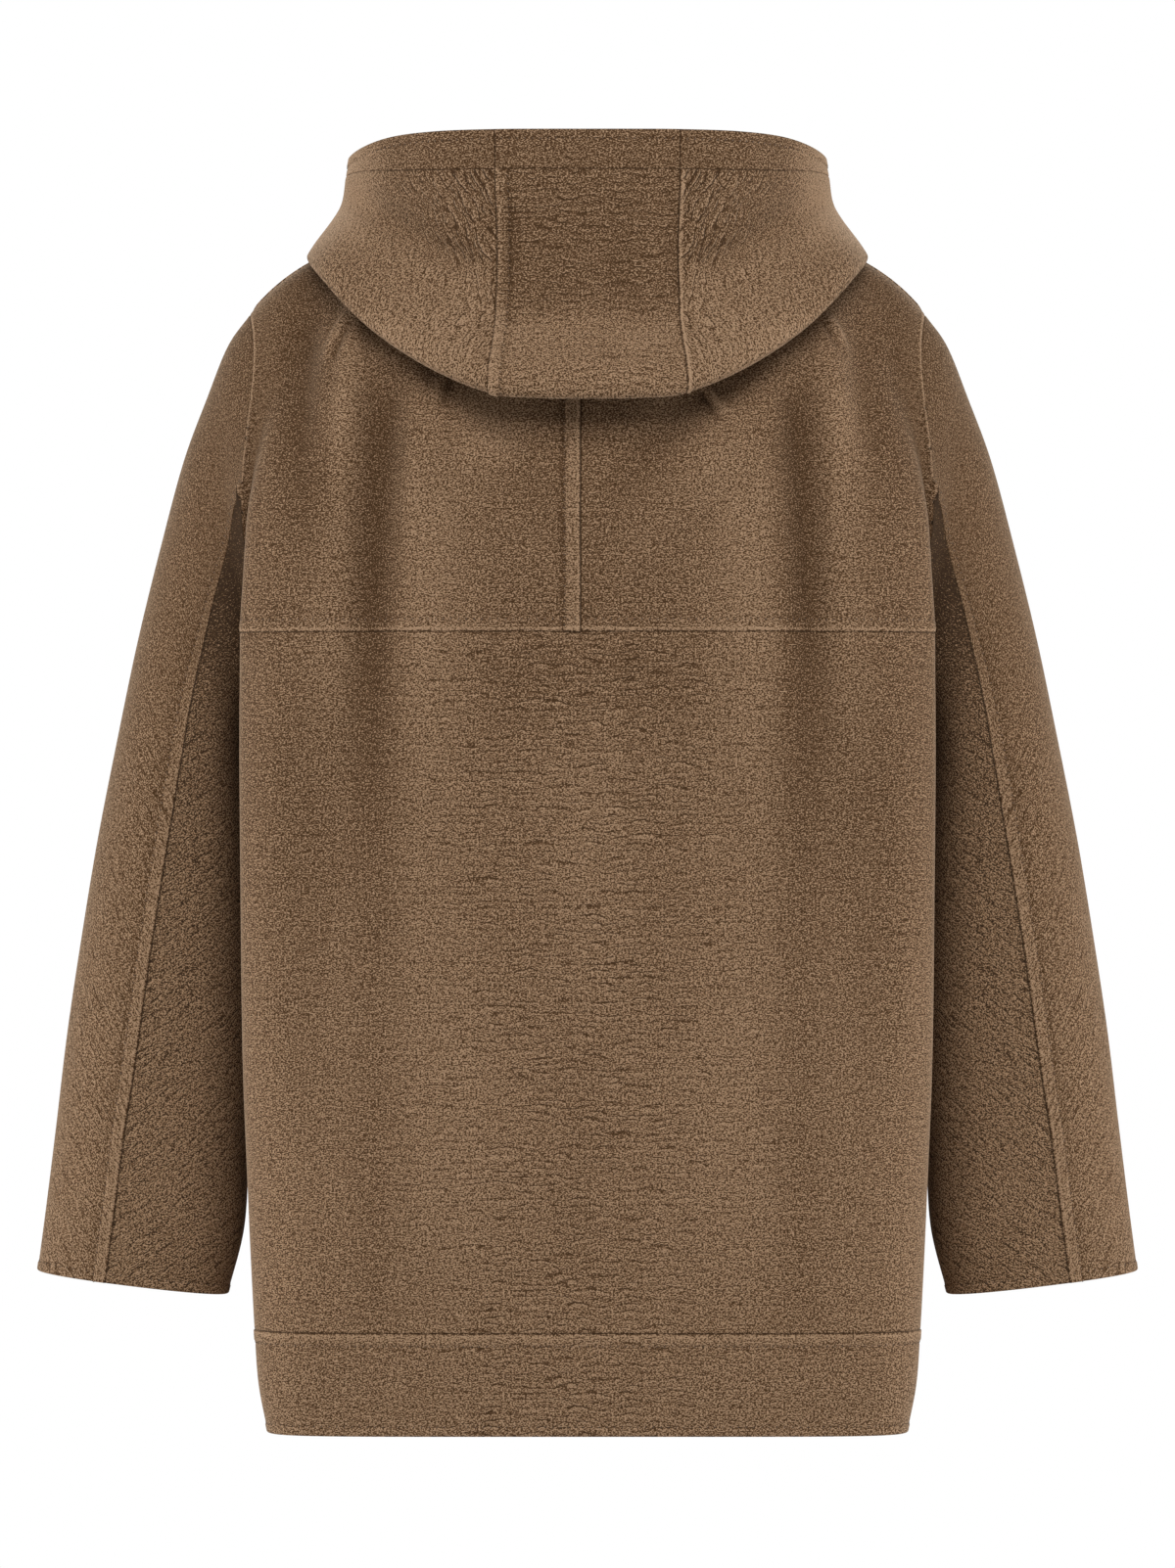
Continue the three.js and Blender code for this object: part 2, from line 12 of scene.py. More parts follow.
import bpy
import numpy as np
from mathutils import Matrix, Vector
from mathutils.kdtree import KDTree


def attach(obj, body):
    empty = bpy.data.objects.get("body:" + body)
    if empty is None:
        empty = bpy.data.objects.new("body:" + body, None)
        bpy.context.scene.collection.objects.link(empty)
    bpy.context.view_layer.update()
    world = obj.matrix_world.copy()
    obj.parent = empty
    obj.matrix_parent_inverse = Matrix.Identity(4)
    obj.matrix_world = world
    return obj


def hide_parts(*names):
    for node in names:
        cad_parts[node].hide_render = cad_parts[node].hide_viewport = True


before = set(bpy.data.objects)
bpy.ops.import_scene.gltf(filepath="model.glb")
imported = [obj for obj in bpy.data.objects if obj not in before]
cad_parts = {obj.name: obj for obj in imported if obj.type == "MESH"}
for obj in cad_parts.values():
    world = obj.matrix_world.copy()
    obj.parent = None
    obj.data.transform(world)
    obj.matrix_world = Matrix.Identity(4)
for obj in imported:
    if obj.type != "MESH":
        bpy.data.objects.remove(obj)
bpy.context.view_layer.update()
print("loaded", len(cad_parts), "pieces of cloth")

# %% [markdown]
# ## Numbers and curves
#
# Sizes are in millimetres, as a cutter writes them, and become metres when a mesh is made. A table holds
# a row for each measured section and a named column for each size. A curve through the rows gives every
# size at every place between them, so a few sections are enough for a smooth coat.

# %% Curves through tables
MM = 0.001


def lerp(a, b, t):
    return a + (b - a) * t


def ease(value):
    t = np.clip(value, 0, 1)
    return t * t * (3 - 2 * t)


def hill(value):
    """1 at 0, and down to 0 at -1 and 1 with soft feet."""
    return ease(1 - np.abs(value))


def step(value, start, full):
    """0 at start, 1 at full and past it, with a soft step between; full may lie on either side."""
    return ease((value - start) / (full - start))


def band(value, start, full, fade, end):
    """0 before start, 1 from full to fade, and 0 past end, with soft steps between."""
    return step(value, start, full) * step(value, end, fade)


def points(x, y, z):
    return np.stack(np.broadcast_arrays(x, y, z), axis=-1)


def unit(vector):
    return vector / np.maximum(np.linalg.norm(vector, axis=-1, keepdims=True), 1e-9)


def table(names, rows):
    return {name: np.array([row[i] for row in rows], float) for i, name in enumerate(names)}


def cubic(t, span, start, end, start_slope, end_slope):
    """A smooth step from start to end over a span, with the slope that each end should have."""
    near = (2 * t**3 - 3 * t**2 + 1) * start + (t**3 - 2 * t**2 + t) * span * start_slope
    return near + (3 * t**2 - 2 * t**3) * end + (t**3 - t**2) * span * end_slope


def through(places, values, at):
    """A smooth curve through known values, read at any place between them."""
    last = len(places) - 1
    before = np.maximum(np.arange(last + 1) - 1, 0)
    after = np.minimum(np.arange(last + 1) + 1, last)
    slopes = (values[after] - values[before]) / (places[after] - places[before])
    k = np.clip(np.searchsorted(places, at) - 1, 0, last - 1)
    span = places[k + 1] - places[k]
    t = np.clip((at - places[k]) / span, 0, 1)
    return cubic(t, span, values[k], values[k + 1], slopes[k], slopes[k + 1])


def row_at(rows, places, at):
    return {name: through(places, values, at) for name, values in rows.items()}


def rounded_square(angle, power):
    """A unit square with rounded corners: a circle at power 2, squarer as the power grows."""
    s, c = np.sin(angle), np.cos(angle)
    size = (np.abs(s) ** power + np.abs(c) ** power) ** (1 / power)
    return s / size, c / size


corner = float(rounded_square(math.pi / 4, 4)[0])
print("a rounded square of power 4 reaches", round(corner, 3), "at 45 degrees")

# %% [markdown]
# ## The body
#
# The body hangs from the neck and the shoulders as a soft slab: flat across the back, round at the sides,
# and narrowed beside each arm. It could be sculpted, but a section can be measured and put right on its
# own, so each level is a rounded square from a table. Above the underarm the rows bend up to follow the
# armhole, so that a yoke can end exactly on it.

# %% Body sizes
CLOTH = 2.5
YOKE_SEAM_Z = -288
UNDERARM_Z = -310
BAND_SEAM_Z = -744
HEM_Z = -811
BACK_SEAM_X = 4.5
FRONT_LAP = 35
LAP_STEP = CLOTH + 1.9
LAP_EASE = 28
HOLLOW_START_Y, HOLLOW_END_Y = 78, 4
BODY = table(
    ["z", "wide", "side", "back", "front", "square"],
    [
        [-811, 208.5, 203, 106, 108, 7],
        [-780, 215, 206, 108, 110, 6.5],
        [-744, 218, 209, 110, 112, 6],
        [-660, 224, 210, 112, 115, 5],
        [-580, 228.5, 207, 112, 117, 4.8],
        [-480, 231.5, 204, 112, 118, 4.5],
        [-310, 233.5, 205, 112, 119, 4.2],
        [-190, 229, 205, 111, 117, 4],
        [-78, 222, 206, 107, 108, 3.6],
    ],
)
NECK_HALF, NECK_BACK, NECK_FRONT = 74, 46, 74
NECK_BACK_DROP, NECK_FRONT_DROP = 4, 62
DROP_POWER = 1.5
SHOULDER_X, SHOULDER_Z = 222, -77
SHOULDER_EVEN_DROP, SHOULDER_END_POWER = 54, 6
NECK_SHARE = 0.224
SLOPE_NECK, SLOPE_SHOULDER = 190, 125
POWER_NECK, POWER_SHOULDER = 1.2, 1.45
SLOPE_SHOULDER_FROM = 0.6
CLIMB_POWER_BACK, CLIMB_POWER_FRONT = 1.7, 1.5
ARMHOLE_REACH_FROM = 0.4
REACH_POWER, REACH_POWER_HIGH, REACH_POWER_LOW = 2, 1.4, 5
REACH_LOW_FROM, REACH_LOW_TO = math.radians(100), math.radians(160)
ARMHOLE_BACK, ARMHOLE_FRONT = 62, 60
BACK_SWELL, BACK_SWELL_LOW, BACK_SWELL_ENDS, FRONT_SWELL = 12.5, 10, 14, -6
SKIRT_UNIT = 100
print("from neck to hem:", -HEM_Z, "mm")

# %% Body sections and the armhole
YOKE_ROWS = 8


def body_row(z):
    return row_at(BODY, BODY["z"], np.clip(z, HEM_Z, SHOULDER_Z))


UNDERARM_X = float(body_row(UNDERARM_Z)["side"])
ARMHOLE_MIDDLE = (UNDERARM_Z + SHOULDER_Z) / 2
YOKE_ANGLE = math.acos((YOKE_SEAM_Z - ARMHOLE_MIDDLE) / (SHOULDER_Z - ARMHOLE_MIDDLE))
FIRST_ROW = YOKE_ANGLE / YOKE_ROWS


def armhole(angle):
    """The left armhole: 0 at the shoulder point, 90 degrees at the back, 180 at the underarm."""
    height = (1 + np.cos(angle)) / 2
    turn = np.sin(angle)
    level = np.cos(angle)
    swell = np.where(turn > 0, BACK_SWELL - BACK_SWELL_LOW * level - BACK_SWELL_ENDS * level**2, FRONT_SWELL)
    depth = np.where(turn > 0, ARMHOLE_BACK, ARMHOLE_FRONT)
    x = lerp(UNDERARM_X, SHOULDER_X, height) + swell * turn * turn
    return x, depth * turn, lerp(UNDERARM_Z, SHOULDER_Z, height)


def top_of_column(face, across):
    """Where a column of the body ends above: on the neck seam or on the shoulder seam."""
    angle = np.clip(np.abs(across) / NECK_SHARE, 0, 1) * math.pi / 2
    deep = NECK_BACK if face > 0 else -NECK_FRONT
    drop = NECK_BACK_DROP if face > 0 else NECK_FRONT_DROP
    cosine = np.maximum(np.cos(angle), 0)
    along = np.clip((np.abs(across) - NECK_SHARE) / (1 - NECK_SHARE), 0, 1)
    on_neck = np.abs(across) <= NECK_SHARE
    x = np.where(on_neck, NECK_HALF * np.sin(angle), lerp(NECK_HALF, SHOULDER_X, along))
    y = np.where(on_neck, deep * cosine, 0)
    fall = -SHOULDER_EVEN_DROP * along + (SHOULDER_Z + SHOULDER_EVEN_DROP) * along**SHOULDER_END_POWER
    z = np.where(on_neck, -drop * cosine**DROP_POWER, fall)
    return np.sign(across) * x, y, z


def section_point(face, across, z):
    row = body_row(z)
    wide, deep = rounded_square(across * math.pi / 2, row["square"])
    y = face * (row["back"] if face > 0 else row["front"]) * deep
    hollow = ease((HOLLOW_START_Y - y) / (HOLLOW_START_Y - HOLLOW_END_Y))
    return wide * lerp(row["wide"], row["side"], hollow), y, z


print("yoke seam at", round(math.degrees(YOKE_ANGLE)), "degrees round the armhole")

# %% Body surface
HALVINGS = 24


def slope_rise(across, drop):
    """How far the slope of the neck or shoulder has come out to the full depth of the body."""
    towards = ease(np.abs(across) / SLOPE_SHOULDER_FROM)
    t = np.clip(drop / lerp(SLOPE_NECK, SLOPE_SHOULDER, towards), 0, 1)
    power = lerp(POWER_NECK, POWER_SHOULDER, towards)
    return (1 - (1 - t) ** power) ** (1 / power)


def chest_point(face, across, angle):
    edge_x, edge_y, edge_z = armhole(face * angle)
    level_row = angle >= YOKE_ANGLE
    climb = np.where(level_row, 0, (edge_z - YOKE_SEAM_Z) / (SHOULDER_Z - YOKE_SEAM_Z))
    top_x, top_y, top_z = top_of_column(face, across)
    z = np.where(level_row, edge_z, lerp(YOKE_SEAM_Z, top_z, climb))
    blend = np.clip(climb, 0, 1) ** (CLIMB_POWER_BACK if face > 0 else CLIMB_POWER_FRONT)
    level_x, level_y, _ = section_point(face, across, z)
    edge_level_x = section_point(face, 1.0, edge_z)[0]
    near_edge = np.clip((np.abs(across) - ARMHOLE_REACH_FROM) / (1 - ARMHOLE_REACH_FROM), 0, 1)
    low = ease((angle - REACH_LOW_FROM) / (REACH_LOW_TO - REACH_LOW_FROM))
    widening = near_edge ** (lerp(REACH_POWER_HIGH, REACH_POWER_LOW, low) if face > 0 else REACH_POWER)
    x = lerp(level_x, top_x, blend)
    x = x + widening * np.sign(across) * (edge_x - lerp(edge_level_x, SHOULDER_X, blend))
    y = lerp(top_y, level_y, slope_rise(across, top_z - z)) + near_edge**REACH_POWER * edge_y
    return x, y, z


def body_point(face, across, down):
    """down is the angle round the armhole as far as the underarm, and then counts SKIRT_UNITs."""
    chest = chest_point(face, across, np.minimum(down, math.pi))
    skirt = section_point(face, across, UNDERARM_Z - SKIRT_UNIT * (down - math.pi))
    on_chest = down <= math.pi
    return points(*(np.where(on_chest, c, s) for c, s in zip(chest, skirt)))


def across_at(face, x, down):
    """The share of the width at which a row reaches x, found by halving."""
    low, high = np.zeros_like(down), np.full_like(down, NECK_SHARE)
    for _ in range(HALVINGS):
        middle = (low + high) / 2
        short = body_point(face, middle, down)[..., 0] < x
        low, high = np.where(short, middle, low), np.where(short, high, middle)
    return high


def down_at(z):
    return math.pi + (UNDERARM_Z - z) / SKIRT_UNIT


BAND_DOWN, HEM_DOWN = down_at(BAND_SEAM_Z), down_at(HEM_Z)
print("a row of the skirt every", SKIRT_UNIT, "mm; the hem is", round(HEM_DOWN - math.pi, 2), "rows down")

# %% [markdown]
# ## The sleeves
#
# A two-piece sleeve hangs from the armhole, bends forward a little, and narrows to a cuff. It could be a
# tube swept along the arm, but its rings wouldn't lean as the cloth does. Here the upper and the under
# sleeve share a table of leaning rings and differ only in the part of the ring that they cover, so the
# back seam between them can drift as it does on the real coat.

# %% Sleeve surface
SLEEVE = table(
    ["innerX", "innerZ", "outerX", "outerZ", "y", "deep", "seam"],
    [
        [205, -310, 222, -77, 0, 61, 89.7],
        [213, -313, 236.5, -97, -5, 58, 90],
        [217, -318, 250.5, -131, -11, 57, 91],
        [222, -327, 266, -172, -17, 59, 93.5],
        [227, -340, 281, -226, -24, 61, 95.5],
        [230, -360, 297, -290, -29, 63, 95],
        [229, -400, 311, -356, -32, 63, 91],
        [227, -455, 324.5, -424, -33, 61, 86],
        [226, -513, 335.5, -490, -34, 59, 81.5],
        [226, -572, 345, -553, -35, 56, 78.5],
        [229, -632, 352.5, -615, -36, 52, 75],
        [232, -683, 359, -667, -37, 48, 73.5],
        [243, -727, 365, -712, -38, 45, 75],
    ],
)
SLEEVE_PLACES = np.arange(len(SLEEVE["y"]), dtype=float)
SLEEVE_SQUARENESS = 2.3
SLEEVE_SETTLE_RINGS = 3
BACK_SEAM_ANGLE, FRONT_SEAM_ANGLE = 5 * FIRST_ROW, 6 * FIRST_ROW


def ring_point(place, angle):
    ring = row_at(SLEEVE, SLEEVE_PLACES, place)
    wide, deep = rounded_square(angle, SLEEVE_SQUARENESS)
    out = (1 + deep) / 2
    x = lerp(ring["innerX"], ring["outerX"], out)
    return points(x, ring["y"] + ring["deep"] * wide, lerp(ring["innerZ"], ring["outerZ"], out))


def sleeve_point(place, start):
    """start is the angle of a thread line at the armhole; the lines lean with the back seam."""
    start = np.where(start > math.pi, start - 2 * math.pi, start)
    seam = np.radians(through(SLEEVE_PLACES, SLEEVE["seam"], place))
    seam_start = math.radians(SLEEVE["seam"][0])
    upper = start * seam / seam_start
    under = math.pi - (math.pi - start) * (math.pi - seam) / (math.pi - seam_start)
    angle = np.where(start <= 0, start, np.where(start <= seam_start, upper, under))
    settle = np.clip(1 - place / SLEEVE_SETTLE_RINGS, 0, 1) ** 2
    offset = points(*armhole(start)) - ring_point(np.zeros_like(start), start)
    return ring_point(place, angle) + offset * settle[..., None]


sleeve_long = math.hypot(SLEEVE["outerX"][-1] - SHOULDER_X, SLEEVE["outerZ"][-1] - SHOULDER_Z)
print("sleeve from the shoulder point:", round(sleeve_long), "mm")

# %% [markdown]
# ## The hood
#
# A hood that hangs down is a pocket. From the neck seam the cloth stands up, falls back over the yoke,
# turns up at the bottom in a soft roll, and climbs to the face edge. A crease runs across it where the
# upper part caves in, low at the middle of the back and high at the sides. Simulated cloth would settle
# in a place of its own, so eight named points make the profile at each station round the neck instead.

# %% Hood sizes
HOOD = table(
    [
        "rollX", "rollY", "rollZ", "rimX", "rimY", "rimZ",
        "set", "stand", "lift", "turn", "full", "crease", "band",
    ],
    [
        [0, 140, -123.5, 0, 106, 38.5, 13, 15, 7, 9, 1, 0.27, 26],
        [32, 139.5, -123, 30, 106, 38.5, 13, 15, 8, 9, 1, 0.27, 26],
        [64, 135, -119.5, 60, 104, 38.5, 14, 15, 10, 9, 1, 0.29, 26],
        [106, 123, -101.5, 98, 95.5, 38, 18, 15, 12, 9, 1, 0.4, 25],
        [144, 98, -76, 127, 70, 36.5, 17, 16, 14, 8, 1, 0.48, 22],
        [171, 63, -48, 147, 37, 32, 13, 17, 16, 5, 1, 0.5, 16],
        [180.5, 10, -33, 155.5, -4, 27, 7, 18, 18, 1.5, 1, 0.45, 12],
        [167, -42, -24, 139, -44, 27, 6, 22, 16, 4, 0.9, 0.4, 12],
        [127, -86, -29, 108, -82, 16, 4, 20, 12, 4, 0.7, 0.36, 12],
        [66, -106, -38, 58, -104, 5, 2, 14, 8, 3, 0.35, 0.33, 12],
        [0.2, -92, -46, 0.2, -106, -5, 0, 0, 0, 0, 0, 0.33, 12],
    ],
)
HOOD_PLACES = np.arange(len(HOOD["set"]), dtype=float)
HOOD_LAST = HOOD_PLACES[-1]
NECK_BACK_STATIONS = 6
HOOD_PANEL_STATION = 2
HOOD_TURN_INWARDS = 0.8
HOOD_STAND_LEAN = 0.3
HOOD_DRAW_STAND, HOOD_DRAW_TURN = 0.3, 0.25
HOOD_NARROW_BELOW, HOOD_NARROW_FADE = 0.6, 0.15
HOOD_NARROW_FROM, HOOD_NARROW_GAIN = 0.45, 0.1
HOOD_LINES = np.array([0, 0.1, 0.3, 0.42, 0.5, 0.7, 0.88, 1])
BAND_ALONG = HOOD_LINES[6]
hangs = HOOD["rimZ"][0] - HOOD["rollZ"][0]
print("the hood hangs", round(hangs), "mm from its face edge to its roll")

# %% Hood surface


def neck_seam(station):
    on_back = station <= NECK_BACK_STATIONS
    behind = top_of_column(1, NECK_SHARE * station / NECK_BACK_STATIONS)
    front_share = (HOOD_LAST - station) / (HOOD_LAST - NECK_BACK_STATIONS)
    ahead = top_of_column(-1, NECK_SHARE * front_share)
    return points(*(np.where(on_back, b, a) for b, a in zip(behind, ahead)))


def hood_lines(station):
    row = row_at(HOOD, HOOD_PLACES, station)
    neck = neck_seam(station)
    roll = points(row["rollX"], row["rollY"], row["rollZ"])
    rim = points(row["rimX"], row["rimY"], row["rimZ"])
    out = unit((roll - neck) * [1, 1, 0])
    up = np.array([0.0, 0.0, 1.0])
    full = np.clip(row["full"], 0, 1)[..., None]
    stand, lift, turn = (row[name][..., None] for name in ("stand", "lift", "turn"))
    stand_line = lerp(neck + (up + HOOD_STAND_LEAN * out) * stand * full, roll, HOOD_DRAW_STAND * (1 - full))
    turn_line = roll - (HOOD_TURN_INWARDS * out + up) * turn * full
    turn_line = lerp(turn_line, neck, HOOD_DRAW_TURN * (1 - full))
    under = lerp(stand_line, turn_line, 0.5) + up * lift * full
    crease = lerp(roll, rim, row["crease"][..., None]) - out * row["set"][..., None]
    wide_band = rim + unit(crease - rim) * row["band"][..., None]
    narrow_band = lerp(crease, rim, HOOD_NARROW_FROM + HOOD_NARROW_GAIN * full)
    narrow = ease((HOOD_NARROW_BELOW + HOOD_NARROW_FADE - full) / (2 * HOOD_NARROW_FADE))
    return [neck, stand_line, under, turn_line, roll, crease, lerp(wide_band, narrow_band, narrow), rim]


def hood_point(station, along):
    """A point of the left half; station and along are arrays of one shape."""
    lines = np.stack(hood_lines(station), axis=0)
    last = len(HOOD_LINES) - 1
    k = np.clip(np.searchsorted(HOOD_LINES, along) - 1, 0, last - 1)
    pick = lambda index: np.take_along_axis(lines, np.clip(index, 0, last)[None, ..., None], axis=0)[0]
    place = lambda index: HOOD_LINES[np.clip(index, 0, last)][..., None]
    slope = lambda index: (pick(index + 1) - pick(index - 1)) / (place(index + 1) - place(index - 1))
    span = place(k + 1) - place(k)
    t = (along[..., None] - place(k)) / span
    return cubic(t, span, pick(k), pick(k + 1), slope(k), slope(k + 1))


MIRROR = np.array([-1.0, 1.0, 1.0])


def hood_whole(station, along):
    """The hood over its middle: negative stations are the right half."""
    side = np.where(station < 0, -1.0, 1.0)[..., None]
    point = hood_point(np.abs(station), along)
    return np.where(side < 0, point * MIRROR, point)


neck_line = neck_seam(np.linspace(0, HOOD_LAST, 81))
half_seam = np.linalg.norm(np.diff(neck_line, axis=0), axis=-1).sum()
print("neck seam:", round(2 * float(half_seam)), "mm round")

# %% [markdown]
# ## Folds
#
# Felted cloth is thick, so its folds are few, wide and soft, and no two are alike. Noise would spread
# them evenly, so they are listed one by one. Each is a line on the cloth with a bow, a half width, a depth
# (a trough is negative), and two lengths over which it fades in and out. The front gets folds of the same
# kind.

# %% Fold tables
FOLD_NAMES = ["x0", "z0", "x1", "z1", "bow", "wide", "deep", "fade0", "fade1"]
BACK_FOLDS = table(
    FOLD_NAMES,
    [
        [128, -100, 150, -450, 3, 24, -11, 0.12, 0.6],
        [-133, -104, -154, -450, -3, 21, -11, 0.12, 0.6],
        [104, -110, 102, -440, 3, 24, 5.5, 0.15, 0.6],
        [-96, -120, -110, -430, -4, 27, 5.5, 0.15, 0.6],
        [-95, -118, -4, -232, 8, 22, -5.0, 0.2, 0.4],
        [-104, -160, -14, -272, 9, 27, 4.5, 0.25, 0.4],
        [82, -125, 12, -246, -8, 26, -3.4, 0.2, 0.4],
        [60, -190, 22, -282, -4, 24, 2.2, 0.3, 0.4],
        [149, -60, 159, -215, 2, 13, 3.6, 0.15, 0.5],
        [-149, -72, -166, -235, -4, 14, 2.2, 0.15, 0.5],
        [185, -66, 190, -205, 0, 20, -7.0, 0.25, 0.5],
        [-174, -66, -186, -200, 0, 17, -5.0, 0.25, 0.5],
        [156, -80, 173, -118, 2, 3.4, 2.1, 0.2, 0.5],
        [150, -82, 167, -120, 2, 4.6, -1.8, 0.2, 0.5],
        [94, -112, 102, -146, 1, 3.2, 1.7, 0.1, 0.5],
        [88, -112, 96, -156, 1, 5.5, -1.8, 0.1, 0.6],
        [-155, -80, -171, -110, -2, 3.4, 1.7, 0.2, 0.5],
        [-149, -82, -164, -112, -2, 4.4, -1.6, 0.2, 0.5],
        [-79, -128, -94, -156, -1, 3.2, 2.0, 0.1, 0.4],
        [-73, -128, -88, -158, -1, 4.4, -1.8, 0.1, 0.4],
        [172, -290, 178, -660, 5, 40, -5.5, 0.3, 0.4],
        [-172, -290, -180, -660, -5, 40, -5.5, 0.3, 0.4],
        [80, -420, 86, -745, 6, 58, 5.0, 0.5, 0.3],
        [-80, -420, -88, -745, -6, 58, 5.0, 0.5, 0.3],
        [3, -510, 1, -765, 2, 32, -3.6, 0.35, 0.3],
        [0, -370, 2, -500, 3, 50, 2.0, 0.4, 0.4],
        [150, -290, 154, -560, 3, 32, -4.5, 0.4, 0.5],
        [-150, -290, -154, -560, -3, 32, -4.5, 0.4, 0.5],
    ],
)
FRONT_FOLDS = table(
    FOLD_NAMES,
    [
        [118, -120, 138, -470, 8, 24, -8, 0.2, 0.5],
        [-122, -120, -146, -440, -8, 22, -8, 0.2, 0.5],
        [92, -150, 104, -420, 4, 26, 4.4, 0.25, 0.5],
        [-90, -150, -108, -430, -4, 26, 4.4, 0.25, 0.5],
        [60, -420, 92, -760, 6, 52, 4.0, 0.35, 0.3],
        [-64, -400, -100, -760, -6, 52, 4.0, 0.35, 0.3],
        [150, -380, 176, -720, 6, 44, -4.4, 0.3, 0.4],
        [-150, -380, -180, -720, -6, 44, -4.4, 0.3, 0.4],
    ],
)
HOOD_FOLDS = table(
    FOLD_NAMES,
    [
        [0, 50, 0, -92, 0, 70, -2.5, 0.3, 0.25],
        [50, 8, 49, -84, 0, 12, -3.0, 0.3, 0.4],
        [-57, 4, -57, -74, 0, 10, -1.6, 0.3, 0.4],
        [158, 5, 64, -54, 5, 16, -5.0, 0.2, 0.2],
        [-158, 5, -64, -54, -5, 16, -4.5, 0.2, 0.2],
        [-20, -30, -30, -86, 3, 16, -1.6, 0.3, 0.4],
        [22, -98, 60, -104, 2, 12, 1.6, 0.3, 0.4],
        [-18, -98, -58, -102, 2, 12, 1.4, 0.3, 0.4],
    ],
)
print("folds:", [len(rows["deep"]) for rows in (BACK_FOLDS, FRONT_FOLDS, HOOD_FOLDS)])

# %% Height of the folds, and the light and shade painted on them
# How much light and shade is painted on a fold, most on narrow ones.
FULL_FOLD = 8.0
KEEN_WIDE, KEEN_MOST = 20.0, 10.0


def folds(rows, a, b):
    """The height of a table's folds at the places (a, b), and the light and shade painted on them, most on
    narrow ones.
    """
    height, light = np.zeros(a.shape), np.zeros(a.shape)
    for x0, z0, x1, z1, bow, wide, deep, fade0, fade1 in zip(*(rows[name] for name in FOLD_NAMES)):
        length = math.hypot(x1 - x0, z1 - z0)
        along = ((a - x0) * (x1 - x0) + (b - z0) * (z1 - z0)) / length**2
        beside = ((a - x0) * (z0 - z1) + (b - z0) * (x1 - x0)) / length
        t = np.clip(along, 0, 1)
        beside = beside - 4 * bow * t * (1 - t)
        ends = ease(along / fade0) * ease((1 - along) / fade1)
        rise = deep * hill(beside / wide) * ends
        height += rise
        light += rise / FULL_FOLD * min(max(KEEN_WIDE / wide, 1) ** 2, KEEN_MOST)
    return np.stack([height, light], axis=-1)


deepest = folds(BACK_FOLDS, np.array([139.0]), np.array([-270.0]))[0, 0]
print("the trough beside the yoke's left armhole is", round(-deepest, 1), "mm deep")

# %% [markdown]
# ## Grids for the pieces of cloth
#
# Each piece is a grid of points on its surface. The ridges of the seams could be painted as a bump, but
# they show at the outline and cast real shadows, so they are part of the mesh. The grid is close near the
# seams, where a ridge turns within a millimetre, and wider elsewhere.
#
# Every border has a kind. Felled borders carry a ridge. It is broad down the middle of the yoke, flat or
# level on the seams that run across, and narrow at the armholes and on one side of the hood. Under is the
# sleeve's side of the armhole, plain is the smooth side of any other seam, and turned is a free edge.

# %% Sizes of the seams
STEP, FINE_STEP = ((4.0, 2.4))
FINE_PIECES = ("back_yoke", "hood")
SEAM_LAP = 0.12
RIDGE_WIDE = {"felled": 8.0, "broad": 10.2, "flat": 8.0, "level": 8.0, "narrow": 4.0}
RIDGE_HIGH = {"felled": 1.1, "broad": 1.3, "flat": 0.4, "level": 0.7, "narrow": 0.6}
DITCH_DEEP = 0.4
UNDER_DEEP, UNDER_WIDE = 0.5, 12.0
TURNED_HIGH, TURNED_WIDE = 0.6, 6.0
EDGE_ROUND = 1.3
MITRE_LIMIT, MITRE_REACH = 0.35, 9.0
NEAR_RIDGE = np.array([0, 0.3, 0.7, 1.2, 2, 3.4, 5, 6.4, 7.2, 7.8, 8.4, 9.2, 10.6, 13])
NEAR_NARROW = np.array([0, 0.3, 0.7, 1.2, 2, 3.2, 4.2, 5, 6, 8])
NEAR_PLAIN = np.array([0, 0.3, 0.7, 1.2, 2, 3.4])
NEAR = {
    "felled": NEAR_RIDGE,
    "flat": NEAR_RIDGE,
    "level": NEAR_RIDGE,
    "broad": np.array([0, 0.3, 0.7, 1.2, 2, 3.4, 5, 7, 8.6, 9.4, 10, 10.6, 11.4, 12.8, 15]),
    "narrow": NEAR_NARROW,
    "under": NEAR_NARROW,
    "turned": np.array([0, 0.15, 0.4, 0.8, 1.2, 2.2, 3.8, 5.2, 5.8, 6.4, 7.2, 9]),
    "plain": NEAR_PLAIN,
}
EVEN_CRUMPLE = 0.5
print("grid steps of", STEP, "and", FINE_STEP, "mm; kinds of border:", *NEAR)

# %% Grids that are close at the seams
pieces = {}


def graded(length, start_kind, end_kind, spacing):
    """Places along a length, close at both ends in the way of their kinds, and evenly spaced between."""
    start, end = NEAR[start_kind], NEAR[end_kind]
    room = length - start[-1] - end[-1]
    if room <= spacing:
        start, end = NEAR_PLAIN, NEAR_PLAIN
        room = length - start[-1] - end[-1]
    middle = np.linspace(start[-1], length - end[-1], max(2, int(round(room / spacing)) + 1))
    return np.concatenate([start[:-1], middle, (length - end[::-1])[1:]])


def arc(grid, axis):
    """How far each point of a grid lies along its own row or column."""
    lengths = np.linalg.norm(np.diff(grid, axis=axis), axis=-1)
    shape = list(grid.shape[:2])
    shape[axis] = 1
    return np.concatenate([np.zeros(shape), np.cumsum(lengths, axis=axis)], axis=axis)


def sample(surface, kinds, spacing):
    """A grid of points on a surface of (across, down) shares, with kinds for its four borders."""
    coarse = np.linspace(0, 1, 81)
    trial = surface(coarse[None, :], coarse[:, None])
    shares = []
    for axis, (first, second) in ((1, kinds[2:]), (0, kinds[:2])):
        travel = arc(trial, axis).mean(axis=1 - axis)
        shares.append(np.interp(graded(travel[-1], first, second, spacing), travel, coarse))
    return shares[0][None, :], shares[1][:, None]


